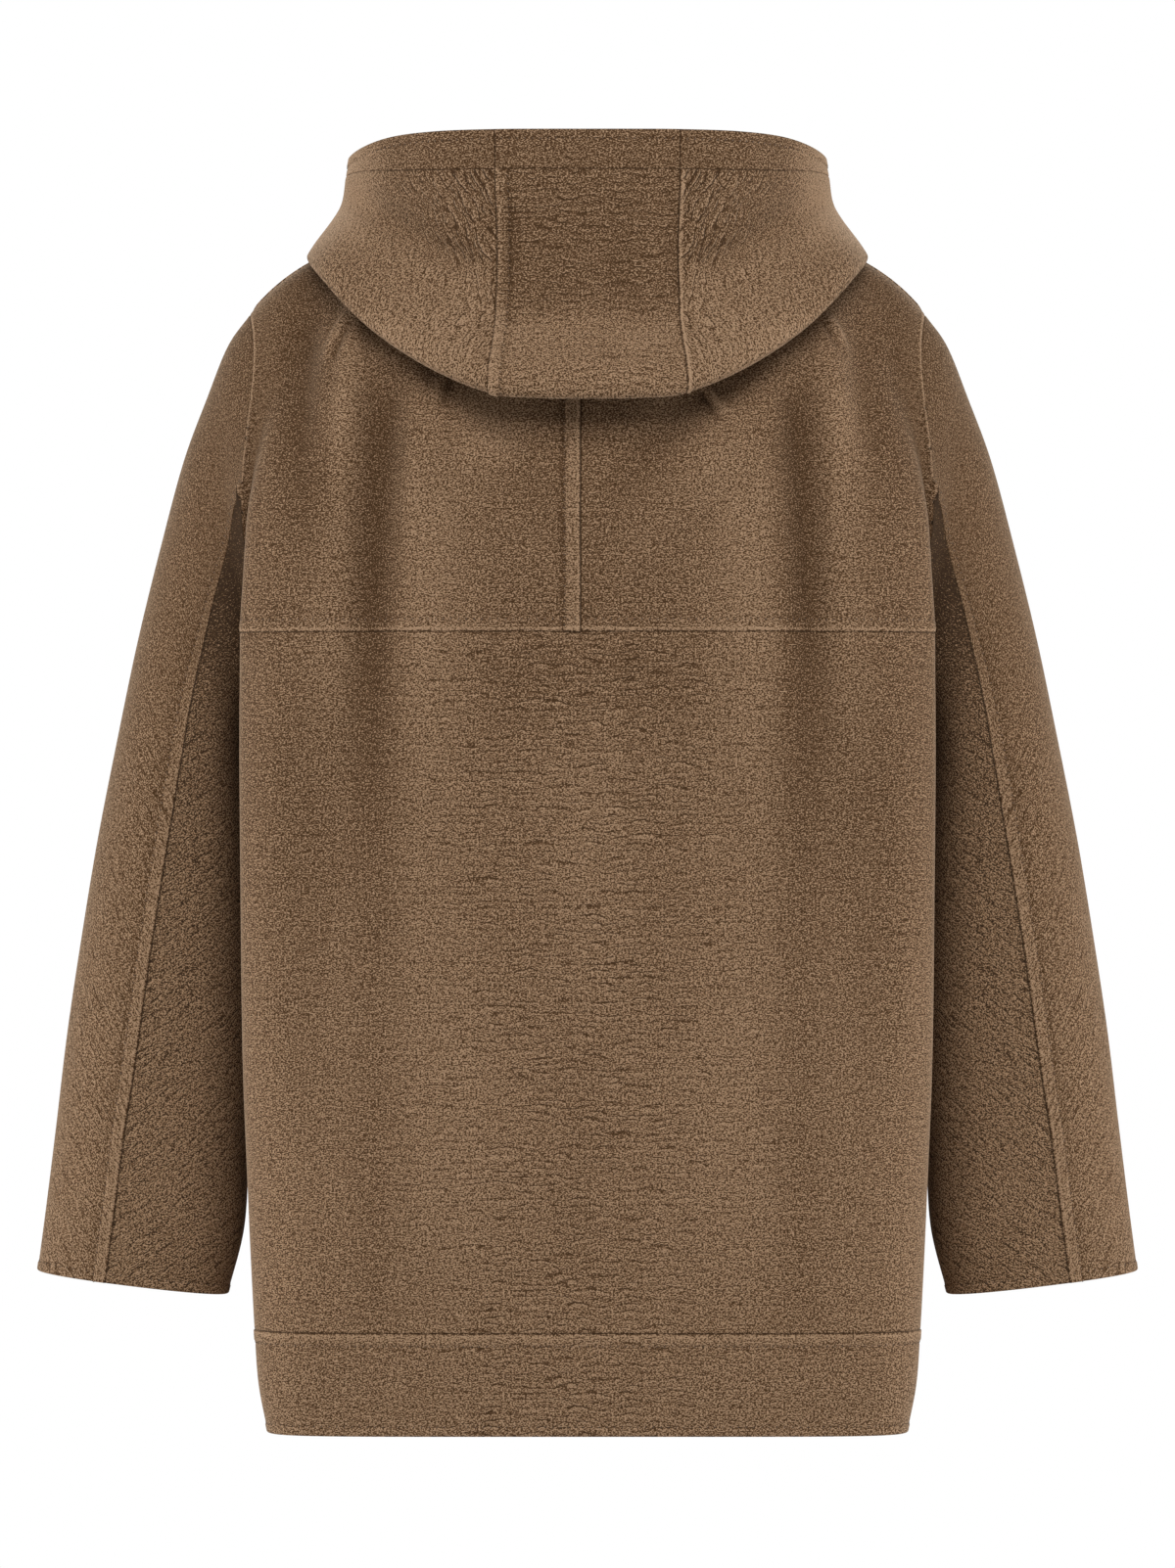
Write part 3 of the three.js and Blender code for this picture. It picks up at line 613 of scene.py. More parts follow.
def add_piece(name, surface, kinds, fold=None, side=1, grain=0.0, shade=None, crumple=None):
    """kinds: the top, bottom, left and right borders. side turns the normals outwards."""
    u, v = sample(surface, kinds, FINE_STEP if name.startswith(FINE_PIECES) else STEP)
    grid = surface(u, v)
    piece = {"grid": grid, "kinds": kinds, "side": side, "grain": grain}
    piece["shade"] = shade(u, v, grid) if shade else np.zeros(grid.shape[:2])
    piece["crumple"] = crumple(u, v, grid) if crumple else np.full(grid.shape[:2], EVEN_CRUMPLE)
    if fold is not None:
        piece["fold"] = fold(u, v, grid)
    pieces[name] = piece


def grid_normals(grid, side):
    across = np.gradient(grid, axis=1)
    down = np.gradient(grid, axis=0)
    return unit(np.cross(down, across)) * side


print("a felled border 600 mm long has", len(graded(600, "felled", "plain", STEP)), "points")

# %% [markdown]
# ## The back: a yoke, a panel and a hem band
#
# The yoke is cut in two halves with a broad seam between them; the panel below it and the hem band are
# each one piece. Light and shade are painted into the colour of the cloth: darker beside the armholes and
# in the long folds, lighter just below the hood. That could be painted on an image, but an image has to
# be unwrapped and stored, so it is a number at every point here, read from a table of soft patches. A row
# gives the side (1 left, -1 right, 0 both), the painted light (below 0 for painted shade), the four
# distances from the middle where the patch starts, is full, begins to fade and ends, and four heights.
# BEFORE and PAST lie beyond the coat, for a patch that has no end on that side.

# %% Painted light and shade of the back
BEFORE, PAST = (-9999, -9998), (9998, 9999)
PATCH_NAMES = ["side", "light", "x0", "x1", "x2", "x3", "z0", "z1", "z2", "z3"]
BACK_PATCHES = table(
    PATCH_NAMES,
    [
        [0, -1.1, 160, 200, *PAST, -560, -360, *PAST],
        [0, -0.4, 160, 200, *PAST, -260, -180, *PAST],
        [0, -1.25, *BEFORE, 47, 92, -380, -305, *PAST],
        [0, -0.69, 111, 137, 137, 163, *BEFORE, -155, -105],
        [0, -1.61, 111, 137, 137, 163, -560, -300, -155, -105],
        [1, -1.9, 151, 181, 181, 211, -260, -180, *PAST],
        [-1, -0.8, 172, 198, 198, 224, -235, -165, *PAST],
        [0, -0.55, 2, 52, 52, 102, -580, -490, -320, -290],
        [0, -1.0, 74, 104, 104, 134, -215, -165, *PAST],
        [0, -0.9, 126, 156, 156, 186, -140, -110, *PAST],
        [1, 1.9, 22, 58, 58, 94, -195, -165, *PAST],
        [-1, 1.7, 16, 52, 52, 88, -168, -143, *PAST],
    ],
)
MIDDLE_CRUMPLE, MIDDLE_WIDE = 0.9, 170
CRUMPLE_HEIGHTS = (-230, -310)
# The painted shadow at the yoke's edge under the arm: how light, its share across, and its heights.
ARMPIT_SHADOW_LIGHT, ARMPIT_SHADOW_SHARE, ARMPIT_SHADOW_HEIGHTS = -3.5, (0.97, 0.99), (-272, -252, -210, -165)


def patches(rows, x, z):
    total = np.zeros(x.shape)
    for side, light, *places in zip(*(rows[name] for name in PATCH_NAMES)):
        away = np.abs(x) if side == 0 else side * x
        total += light * band(away, *places[:4]) * band(z, *places[4:])
    return total


def back_shade(u, v, grid):
    """Painted shade beside the armholes, down the middle of the yoke and in the long side folds; painted
    light under the hood.
    """
    return patches(BACK_PATCHES, grid[..., 0], grid[..., 2])


def yoke_shade(u, v, grid):
    """Painted shadow on the edge of the yoke under the arm, as dark as the sleeve beside it."""
    armpit_shadow = step(u, *ARMPIT_SHADOW_SHARE) * band(grid[..., 2], *ARMPIT_SHADOW_HEIGHTS)
    return back_shade(u, v, grid) + ARMPIT_SHADOW_LIGHT * armpit_shadow


def back_crumple(u, v, grid):
    """The ripples of the nap stand out most down the middle of the back."""
    below = step(grid[..., 2], *CRUMPLE_HEIGHTS)
    return EVEN_CRUMPLE + MIDDLE_CRUMPLE * hill(grid[..., 0] / MIDDLE_WIDE) * below


print("patches of light and shade on the back:", len(BACK_PATCHES["light"]))

# %% Cut the back
FOLD_START_ROW, FOLD_GROW_ROWS = 0.4, 2.2
SIDE_FADE = 0.12
NECK_ROW = 0.02
HANDS = {"left": 1, "right": -1}


def fold_room(across, down):
    """Folds die out before they reach the shoulder seam, the armhole and the side seam."""
    return ease((1 - np.abs(across)) / SIDE_FADE) * ease((down / FIRST_ROW - FOLD_START_ROW) / FOLD_GROW_ROWS)


def back_part(across, first, last):
    """The surface and the folds of a part of the back, from one row down to another."""
    down = lambda v: lerp(first, last, v)

    def surface(u, v):
        return body_point(1, across(u, down(v)), down(v) + 0 * u)

    def fold(u, v, grid):
        room = fold_room(across(u, down(v)), down(v))
        return folds(BACK_FOLDS, grid[..., 0], grid[..., 2]) * room[..., None]

    return surface, fold


def half_back(hand):
    """The share of the width from the seam, which lies a little to the left, to one armhole."""

    def across(u, down):
        seam = BACK_SEAM_X * np.clip(down / FIRST_ROW, 0, 1)
        start = across_at(1, seam + 0 * down, down) * np.clip(down / NECK_ROW, 0, 1)
        return lerp(start, hand, u)

    return across


def whole_back(u, down):
    return lerp(-1.0, 1.0, u) + 0 * down


for label, hand in HANDS.items():
    surface, fold = back_part(half_back(hand), 0.0, YOKE_ANGLE)
    kinds = ["plain", "flat", "broad" if hand > 0 else "plain", "narrow"]
    add_piece(f"back_yoke_{label}", surface, kinds, fold, -hand, 0, yoke_shade, back_crumple)
surface, fold = back_part(whole_back, YOKE_ANGLE, BAND_DOWN)
add_piece("back_panel", surface, ["plain"] * 4, fold, -1, 0, back_shade, back_crumple)
surface, fold = back_part(whole_back, BAND_DOWN, HEM_DOWN)
add_piece("back_hem_band", surface, ["level", "turned", "plain", "plain"], fold, -1, crumple=back_crumple)
print("back:", *pieces)

# %% [markdown]
# ## The fronts
#
# Each front is one piece from the neck and shoulder to its hem band. They could be cut to meet edge to
# edge, but a coat like this laps: each reaches past the middle, and the left one steps back under the
# right by a little more than the thickness of the cloth.

# %% Cut the fronts
LAP_TOP_ROW, LAP_TOP_SHARE = 0.6, 0.05
LAP_CLEAR = (20, 80)


def front(hand, first, last):
    """The surface and the folds of one front; the left one steps back under the lap of the right."""
    down = lambda v: lerp(first, last, v)

    def across(u, v):
        lap = across_at(-1, FRONT_LAP + 0 * down(v), down(v))
        return lerp(-lap, 1.0, u)

    def surface(u, v):
        rows = down(v) + 0 * u
        share = across(u, v)
        if first == 0:
            rows = lerp(LAP_TOP_ROW * FIRST_ROW * ease(-share / LAP_TOP_SHARE), last, v)
        point = body_point(-1, share, rows)
        if hand < 0:
            return point * MIRROR
        under = LAP_STEP * ease(1 - (point[..., 0] - FRONT_LAP) / LAP_EASE)
        return point - grid_normals(point, 1) * under[..., None]

    def fold(u, v, grid):
        lap = step(grid[..., 0] * hand, *LAP_CLEAR)
        room = fold_room(across(u, v), down(v)) * lap
        return folds(FRONT_FOLDS, grid[..., 0], grid[..., 2]) * room[..., None]

    return surface, fold


for label, hand in HANDS.items():
    surface, fold = front(hand, 0.0, BAND_DOWN)
    add_piece(f"front_{label}", surface, ["felled", "plain", "turned", "narrow"], fold, side=hand)
    surface, fold = front(hand, BAND_DOWN, HEM_DOWN)
    add_piece(f"front_hem_band_{label}", surface, ["level", "turned", "turned", "felled"], fold, side=hand)
print("fronts lap", FRONT_LAP, "mm past the middle")

# %% [markdown]
# ## The upper and under sleeves
#
# The upper sleeve covers the arm from the front seam over to the back seam, and carries both felled
# ridges. The under sleeve closes the ring. One tube could carry both, with the seams drawn on it, but cut
# as two pieces each has its own thread, and the nap turns at the seams as it does on a tailored sleeve.

# %% Cut the sleeves
# Painted light and shade of the sleeves: darker at the head, and a painted shadow under the arm.
HEAD_LIGHT, CUFF_LIGHT = -2.3, 0.05
UNDER_ARM_LIGHT, UNDER_ARM_HEIGHTS = -4.2, (-345, -235, -160, -120)
CUFF_CRUMPLE = 1.1
UPPER_GRAIN, UNDER_GRAIN = 55, -40


def sleeve_shade(u, v, grid):
    """Painted shade: the sleeve is darker at its head and lighter towards the cuff."""
    return lerp(HEAD_LIGHT, CUFF_LIGHT, ease(v * 1.05)) + 0 * u


def under_sleeve_shade(u, v, grid):
    """A painted shadow under the arm, as far as the back seam."""
    return sleeve_shade(u, v, grid) + UNDER_ARM_LIGHT * band(grid[..., 2], *UNDER_ARM_HEIGHTS)


def sleeve_crumple(u, v, grid):
    """Slanted ripples grow towards the cuff."""
    return lerp(EVEN_CRUMPLE, CUFF_CRUMPLE, ease(v * 1.6 - 0.3)) + 0 * u


def sleeve(hand, first, last):
    def surface(u, v):
        start = lerp(first, last, u) + 0 * v
        point = sleeve_point(v * SLEEVE_PLACES[-1] + 0 * u, start)
        return point if hand > 0 else point * MIRROR

    return surface


for label, hand in HANDS.items():
    surface = sleeve(hand, -FRONT_SEAM_ANGLE, BACK_SEAM_ANGLE)
    kinds = ["under", "turned", "felled", "felled"]
    add_piece(f"sleeve_upper_{label}", surface, kinds, None, hand, UPPER_GRAIN, sleeve_shade, sleeve_crumple)
    surface = sleeve(hand, BACK_SEAM_ANGLE, 2 * math.pi - FRONT_SEAM_ANGLE)
    kinds = ["under", "turned", "plain", "plain"]
    shade = under_sleeve_shade
    add_piece(f"sleeve_under_{label}", surface, kinds, None, hand, UNDER_GRAIN, shade, sleeve_crumple)
print("sleeves:", *(name for name in pieces if name.startswith("sleeve")))

# %% [markdown]
# ## The panels and the band of the hood
#
# The hood is sewn from a centre panel and two sides, with a band round its face edge. A modeller could
# make the right half with a Mirror modifier, but each seam is felled to one side and each piece of cloth
# stays its own object, so both halves are cut by the same function with a hand of 1 or -1.

# %% Painted light and shade of the hood
PANEL_SEAM_X = 61
CREASE_Z, CREASE_SIDE_Z, CREASE_CLIMB = -84, -55, 0.62
ROLL_LIGHT, ROLL_SIDE_LIGHT, ROLL_LOW_LIGHT = 0.4, -0.5, 0.7
HOLLOW_LIGHT, SIDE_LIGHT = -1.6, 2.8
HOOD_CRUMPLE, PANEL_CRUMPLE = 0.6, (0.45, 1.4)


def hollow_of_hood(grid):
    """How far a point lies above the crease, where the hood caves in."""
    x, z = np.abs(grid[..., 0]), grid[..., 2]
    crease = np.where(x < PANEL_SEAM_X, CREASE_Z, CREASE_SIDE_Z + CREASE_CLIMB * (x - PANEL_SEAM_X))
    return step(z - crease, -10, 12) * (grid[..., 1] > 0)


def hood_shade(u, v, grid):
    """Painted shade in the hollow, painted light on the roll below it and most at the sides."""
    x, z = np.abs(grid[..., 0]), grid[..., 2]
    side = step(x, 122, 156)
    edge = side * step(z, -50, -10)
    low = step(x, 66, 86) * step(z, -70, -95)
    roll = ROLL_LIGHT + ROLL_SIDE_LIGHT * side * (1 - edge) + ROLL_LOW_LIGHT * low
    return lerp(lerp(roll, HOLLOW_LIGHT, hollow_of_hood(grid)), SIDE_LIGHT, edge) * (grid[..., 1] > 0)


def hood_crumple(u, v, grid):
    """Short wrinkles gather in the hollow, beside the panel seams most of all."""
    x = np.abs(grid[..., 0])
    wrinkled = np.where(x < PANEL_SEAM_X, *PANEL_CRUMPLE) * (0.4 + hollow_of_hood(grid))
    return HOOD_CRUMPLE + step(x, 130, 70) * wrinkled


print("the hood's crease climbs from", CREASE_Z, "mm at its middle")

# %% Cut the hood
ROLL_ALONG, ROLL_FADE, BAND_FADE = HOOD_LINES[4], 0.04, 0.08
SIDE_GRAIN = 60


def hood_piece(first, last, low, high, hand=1):
    def surface(u, v):
        station = lerp(first, last, u) + 0 * v
        point = hood_whole(station, lerp(low, high, v) + 0 * u)
        return point if hand > 0 else point * MIRROR

    return surface


def hood_fold(u, v, grid):
    """Only the outer face of the hood is folded: from its roll up to its band."""
    along = v * BAND_ALONG
    outside = ease((along - ROLL_ALONG) / ROLL_FADE) * ease((BAND_ALONG - along) / BAND_FADE)
    return folds(HOOD_FOLDS, grid[..., 0], grid[..., 2]) * (outside * (grid[..., 1] > 0))[..., None]


look = {"shade": hood_shade, "crumple": hood_crumple}
panel = hood_piece(-HOOD_PANEL_STATION, HOOD_PANEL_STATION, 0, BAND_ALONG)
add_piece("hood_centre", panel, ["plain", "plain", "plain", "felled"], hood_fold, **look)
rim = hood_piece(-HOOD_PANEL_STATION, HOOD_PANEL_STATION, BAND_ALONG, 1)
add_piece("hood_rim_centre", rim, ["plain", "turned", "plain", "plain"], shade=hood_shade)
for label, hand in HANDS.items():
    panel = hood_piece(HOOD_PANEL_STATION, HOOD_LAST, 0, BAND_ALONG, hand)
    kinds = ["plain", "plain", "plain" if hand > 0 else "narrow", "turned"]
    add_piece(f"hood_side_{label}", panel, kinds, hood_fold, hand, SIDE_GRAIN, **look)
    rim = hood_piece(HOOD_PANEL_STATION, HOOD_LAST, BAND_ALONG, 1, hand)
    add_piece(f"hood_rim_{label}", rim, ["plain", "turned", "plain", "turned"], side=hand, shade=hood_shade)
print("pieces cut:", len(pieces))

# %% [markdown]
# ## Sewing
#
# The folds move the cloth along its normal. On the real coat two edges are sewn together and share one
# line. The pieces could be merged into a single mesh, but each stays its own object here. So every border
# point looks for the pieces that it meets, and takes the direction half way between their normals, as a
# mitred corner does. That direction fades into the piece's own normal over a few millimetres.

# %% Fold the pieces and list their borders
BORDERS = {
    "top": (slice(0, 1), slice(None)),
    "bottom": (slice(-1, None), slice(None)),
    "left": (slice(None), slice(0, 1)),
    "right": (slice(None), slice(-1, None)),
}
border_points, border_normals, border_owner = [], [], []
for number, piece in enumerate(pieces.values()):
    grid = piece["grid"]
    normal = grid_normals(grid, piece["side"])
    if "fold" in piece:
        # bend is the light and shade painted on the folds.
        piece["bend"] = piece["fold"][..., 1]
        grid = grid + normal * piece["fold"][..., :1]
        normal = grid_normals(grid, piece["side"])
    piece["grid"], piece["normal"] = grid, normal
    for border in BORDERS.values():
        border_points.extend(grid[border].reshape(-1, 3))
        border_normals.extend(normal[border].reshape(-1, 3))
        border_owner.extend([number] * (len(border_points) - len(border_owner)))
tree = KDTree(len(border_points))
for index, point in enumerate(border_points):
    tree.insert(point, index)
tree.balance()
print("seam points:", len(border_points))

# %% Mitre the pieces where they meet
SEAM_SEARCH = 3.5


def mitre(point, normal, owner):
    """The whole way from the inner to the outer face at a seam point."""
    nearest = {}
    for _, index, distance in tree.find_range(point, SEAM_SEARCH):
        other = border_owner[index]
        if other != owner and distance < nearest.get(other, (SEAM_SEARCH, 0))[0]:
            nearest[other] = (distance, index)
    met = [(1.0, normal)]
    for distance, index in nearest.values():
        met.append((float(ease(SEAM_SEARCH - distance)), border_normals[index]))
    total = unit(sum(share * other for share, other in met))
    facing = min(lerp(1.0, float(total @ other), share) for share, other in met)
    return total * CLOTH / max(facing, MITRE_LIMIT)


for number, piece in enumerate(pieces.values()):
    grid, normal = piece["grid"], piece["normal"]
    change = np.zeros_like(normal)
    weight = np.zeros(grid.shape[:2])
    down, across = arc(grid, 0), arc(grid, 1)
    away = (down, down[-1:] - down, across, across[:, -1:] - across)
    piece["distance"] = dict(zip(BORDERS, away))
    for border, distance in zip(BORDERS.values(), away):
        edge, edge_normal = grid[border], normal[border]
        flat = zip(edge.reshape(-1, 3), edge_normal.reshape(-1, 3))
        wanted = np.array([mitre(p, n, number) for p, n in flat]).reshape(edge.shape)
        share = ease(1 - distance / MITRE_REACH)
        change += (wanted - edge_normal * CLOTH) * (share * (1 - weight))[..., None]
        weight = np.maximum(weight, share)
    piece["thick"] = normal * CLOTH + change
thickest = max(np.linalg.norm(piece["thick"], axis=-1).max() for piece in pieces.values())
print("the longest mitre is", round(float(thickest), 1), "mm")

# %% [markdown]
# ## Thickness, ridges and rounded edges
#
# The cloth is 2.5 mm thick. A Solidify modifier could thicken it, but its edge is the same all round. Here
# the outer and the inner face are two copies of the grid. Near a border they round off towards each
# other; beside a felled border the outer face rises into the ridge and drops into the ditch behind it.
# Each wall reaches a tenth of a millimetre past its seam, so that no light shows through.

# %% Relief near the borders, and the light and shade painted there
# A painted shadow runs along each join: how strong it is, and how wide.
SEAM_SHADOW_GAIN = 2.6
SEAM_SHADOW_WIDE = 0.8
RIDGE_START, RIDGE_FOOT, RIDGE_FADE = 0.5, 0.4, 2.2
DITCH_PLACE, DITCH_WIDE = 0.6, 1.6
TURNED_FADE, TURNED_DITCH = 0.9, 0.2
ARMHOLE_RIDGE_DEPTHS, ARMHOLE_RIDGE_HEIGHTS = (2, 22), (-232, -187)
YOKE_RIDGE_ENDS, SLEEVE_RIDGE_ENDS = (0.5, 8.5), (20, 160)
# How deep the painted shadow of a join is: on most seams, on those across, and down the yoke's middle.
SEAM_SHADOW, LEVEL_SEAM_SHADOW, YOKE_SEAM_SHADOW = 1.8, 1.0, 3.8
# For each kind of felled border: painted light on the ridge, along its edge, and painted shade in the ditch.
PAINTED_BORDER_LIGHT = {
    "felled": (1.1, 2.1, 1.1),
    "broad": (1.7, 2.4, 2.0),
    "level": (0.9, 2.0, 0.3),
    "flat": (0.3, 4.0, 0.1),
}
# A painted highlight along the armhole, and painted shade at the sleeve head beside it.
NARROW_PAINTED_HIGHLIGHT, UNDER_SHADE = 6.5, 0.9


def relief(kind, distance):
    """How much the outer face stands proud at a distance from a border of that kind."""
    if kind in RIDGE_WIDE:
        wide = RIDGE_WIDE[kind]
        ridge = ease(distance / RIDGE_START) * ease((wide + RIDGE_FOOT - distance) / RIDGE_FADE)
        return RIDGE_HIGH[kind] * (ridge - DITCH_DEEP * hill((distance - wide - DITCH_PLACE) / DITCH_WIDE))
    if kind == "under":
        return -UNDER_DEEP * hill(distance / UNDER_WIDE)
    if kind == "turned":
        fold = TURNED_HIGH * ease((TURNED_WIDE - distance) / TURNED_FADE)
        return fold - TURNED_DITCH * hill((distance - TURNED_WIDE - 0.3) / TURNED_FADE)
    return 0 * distance


def painted_border_light(kind, distance):
    """Painted light on a ridge and along its edge, painted shade in its ditch, a painted armhole line and
    sleeve head shade.
    """
    if kind in PAINTED_BORDER_LIGHT:
        top, line, ditch = PAINTED_BORDER_LIGHT[kind]
        wide = RIDGE_WIDE[kind]
        ridge = top * ease((wide + RIDGE_FOOT - distance) / RIDGE_FADE) + line * hill((distance - 1.8) / 1.2)
        return ridge - ditch * hill((distance - wide - 1.6) / 3)
    if kind == "narrow":
        return NARROW_PAINTED_HIGHLIGHT * hill((distance - 1.6) / 1.6)
    if kind == "under":
        return -UNDER_SHADE * hill(distance / 7)
    return 0 * distance


def strength(piece, border, kind):
    """Ridges die out at an armhole, and those of the armhole at the shoulder point and under the arm."""
    distance, kinds, grid = piece["distance"], piece["kinds"], piece["grid"]
    if kind in ("narrow", "under"):
        turn = step(np.abs(grid[..., 1]), *ARMHOLE_RIDGE_DEPTHS)
        return turn * step(grid[..., 2], *ARMHOLE_RIDGE_HEIGHTS)
    if kind in ("felled", "flat") and border in ("top", "bottom") and kinds[3] == "narrow":
        return step(distance["right"], *YOKE_RIDGE_ENDS)
    if kind == "felled" and kinds[0] == "under":
        return step(distance["top"], *SLEEVE_RIDGE_ENDS)
    return 1


def painted_seam_shadow(name, border, kind, distance):
    """The painted shadow along the join, which is deepest down the middle of the yoke."""
    if kind == "turned":
        return 0 * distance
    deep = SEAM_SHADOW if border in ("left", "right") or kind == "level" else LEVEL_SEAM_SHADOW
    if border == "left" and name.startswith("back_yoke"):
        deep = YOKE_SEAM_SHADOW
    return deep * hill(distance / SEAM_SHADOW_WIDE)


def rounding(kind, distance):
    """The share of the half thickness that is left at a distance from a border."""
    radius, least = (CLOTH / 2, 0.12) if kind == "turned" else (EDGE_ROUND, 0.3)
    t = np.clip(1 - distance / radius, 0, 1)
    return least + (1 - least) * np.sqrt(1 - t * t)


print("ridges stand proud by", RIDGE_HIGH, "mm")

# %% Outer and inner faces
INNER_ROUND = 0.5
MOST_RISE = RIDGE_HIGH["broad"] * 1.2
INWARDS = {
    "top": (slice(1, 2), slice(None)),
    "bottom": (slice(-2, -1), slice(None)),
    "left": (slice(None), slice(1, 2)),
    "right": (slice(None), slice(-2, -1)),
}


def shape_faces(name, piece):
    """The outer and the inner face of a piece, and the light and shade painted on it."""
    grid, thick = piece["grid"], piece["thick"]
    rise, light, seam = (np.zeros(grid.shape[:2]) for _ in range(3))
    shape = np.ones(grid.shape[:2])
    for kind, (border, distance) in zip(piece["kinds"], piece["distance"].items()):
        share = strength(piece, border, kind)
        # seam is the painted shadow along the joins; light is the painted light and shade near the borders.
        seam = np.maximum(seam, painted_seam_shadow(name, border, kind, distance))
        rise = rise + relief(kind, distance) * share
        light = light + painted_border_light(kind, distance) * share
        shape = np.minimum(shape, rounding(kind, distance))
    middle = grid + thick / 2
    for border, place in BORDERS.items():
        middle[place] -= unit(grid[INWARDS[border]] - grid[place]) * SEAM_LAP
    rise = np.clip(rise, -UNDER_DEEP, MOST_RISE)
    piece["outer"] = middle + thick / 2 * shape[..., None] + piece["normal"] * rise[..., None]
    piece["inner"] = middle - thick / 2 * (1 - (1 - shape) * INNER_ROUND)[..., None]
    # The tone here is painted light and shade: the patches, the folds, the borders and the joins.
    piece["painted_shading"] = piece["shade"] + piece.get("bend", 0) + light - SEAM_SHADOW_GAIN * seam


for name, piece in pieces.items():
    shape_faces(name, piece)
print("faces shaped:", len(pieces))

# %% Meshes
RIPPLE_GAP, HOOD_RIPPLE_GAP = 0.0046, 0.0040


def shell_faces(rows, columns, flip):
    """The faces of two equal grids, one behind the other, joined by a wall all round."""
    count = rows * columns
    number = np.arange(count).reshape(rows, columns)
    quads = np.stack([number[:-1, :-1], number[1:, :-1], number[1:, 1:], number[:-1, 1:]], -1).reshape(-1, 4)
    rim = np.concatenate([number[0, ::-1], number[1:, 0], number[-1, 1:], number[-2:0:-1, -1]])
    after = np.roll(rim, -1)
    walls = np.stack([after, rim, rim + count, after + count], -1)
    faces = np.concatenate([quads, quads[:, ::-1] + count, walls])
    return faces[:, ::-1] if flip else faces


def build(name, piece):
    grid = piece["grid"]
    faces = shell_faces(*grid.shape[:2], piece["side"] < 0)
    vertices = np.concatenate([piece[face].reshape(-1, 3) for face in ("outer", "inner")]) * MM
    mesh = bpy.data.meshes.new(name)
    mesh.from_pydata(vertices.tolist(), [], faces.tolist())
    mesh.polygons.foreach_set("use_smooth", np.ones(len(faces), bool))
    across, down = arc(grid, 1), arc(grid, 0)
    centred = across - across[:, across.shape[1] // 2][:, None]
    turn = math.radians(piece["grain"])
    thread = np.stack([centred, down - down[-1:]], -1).reshape(-1, 2) * MM
    thread = thread @ np.array([[math.cos(turn), -math.sin(turn)], [math.sin(turn), math.cos(turn)]])
    corner = np.empty(len(mesh.loops), int)
    mesh.loops.foreach_get("vertex_index", corner)
    layer = mesh.uv_layers.new(name="thread")
    layer.data.foreach_set("uv", np.concatenate([thread, thread])[corner].reshape(-1))
    gap = np.full(len(vertices), HOOD_RIPPLE_GAP if name.startswith("hood_side") else RIPPLE_GAP)
    # Only the outer face carries the painted light and shade.
    painted_shading = np.concatenate([piece["painted_shading"].reshape(-1), np.zeros(piece["painted_shading"].size)])
    crumple = np.tile(piece["crumple"].reshape(-1), 2)
    for label, values in (("painted_shading", painted_shading), ("crumple", crumple), ("gap", gap)):
        mesh.attributes.new(label, "FLOAT", "POINT").data.foreach_set("value", values)
    mesh.update()
    cloth = bpy.data.objects.new(f"cloth_{name}", mesh)
    bpy.context.collection.objects.link(cloth)
    sides = np.cross(grid[1:, 1:] - grid[:-1, :-1], grid[1:, :-1] - grid[:-1, 1:])
    area = float(np.linalg.norm(sides, axis=-1).sum() / 2) * MM * MM
    flat = float(across[:, -1].max()) * MM, float(down[-1].max()) * MM
    piece.update(object=cloth, flat=flat, area=area)


for name, piece in pieces.items():
    build(name, piece)
    size = " x ".join(f"{value * 1000:.0f}" for value in piece["flat"])
    print(f"{name}: cut {size} mm, {len(piece['object'].data.polygons)} faces")

# %% [markdown]
# ## The cashmere
#
# Double-faced cashmere is milled until the weave disappears and then brushed with water, which leaves a
# short nap lying in fine ripples. Its colour is a mixture of lighter and darker fibres. An image of cloth
# would repeat and blur, and hair would be far too heavy, so a node group draws the nap. The ripples are
# broken waves along the thread coordinates and the fibres are noise on them, so both follow each piece's
# grain. The ripples are a bump, and their crests and valleys are also painted lighter and darker as
# painted light and shade; the painted light and shade of each piece shifts the tone too. The sheen at
# grazing angles is the shader's own. The upper sleeves are a shaded copy of the cloth that shines a
# little less than the rest, and the cloth under the arm is a darker shaded copy that hardly shines at all.

# %% Node helpers
def feed(tree, socket, value):
    """Links a value that is a socket, and sets any other value on the socket itself."""
    if isinstance(value, bpy.types.NodeSocket):
        tree.links.new(value, socket)
    else:
        socket.default_value = value


def add_node(tree, kind, inputs=None, **settings):
    node = tree.nodes.new(kind)
    for name, value in settings.items():
        setattr(node, name, value)
    for name, value in (inputs or {}).items():
        feed(tree, node.inputs[name], value)
    return node


def new_group(name, kind, inputs, outputs):
    """A node group with its named sockets, the values given to it, and the node that hands its results on."""
    group = bpy.data.node_groups.new(name, kind)
    for way, sockets in (("INPUT", inputs), ("OUTPUT", outputs)):
        for label, sort in sockets.items():
            group.interface.new_socket(label, in_out=way, socket_type="NodeSocket" + sort)
    return group, group.nodes.new("NodeGroupInput").outputs, group.nodes.new("NodeGroupOutput").inputs


print("helpers for node trees:", [helper.__name__ for helper in (feed, add_node, new_group)])

# %% Patterns on the thread coordinates


def maths(tree, operation, a, b=0.0, clamp=False):
    return add_node(tree, "ShaderNodeMath", {0: a, 1: b}, operation=operation, use_clamp=clamp).outputs[0]


def apart(tree, vector):
    return add_node(tree, "ShaderNodeSeparateXYZ", {0: vector}).outputs


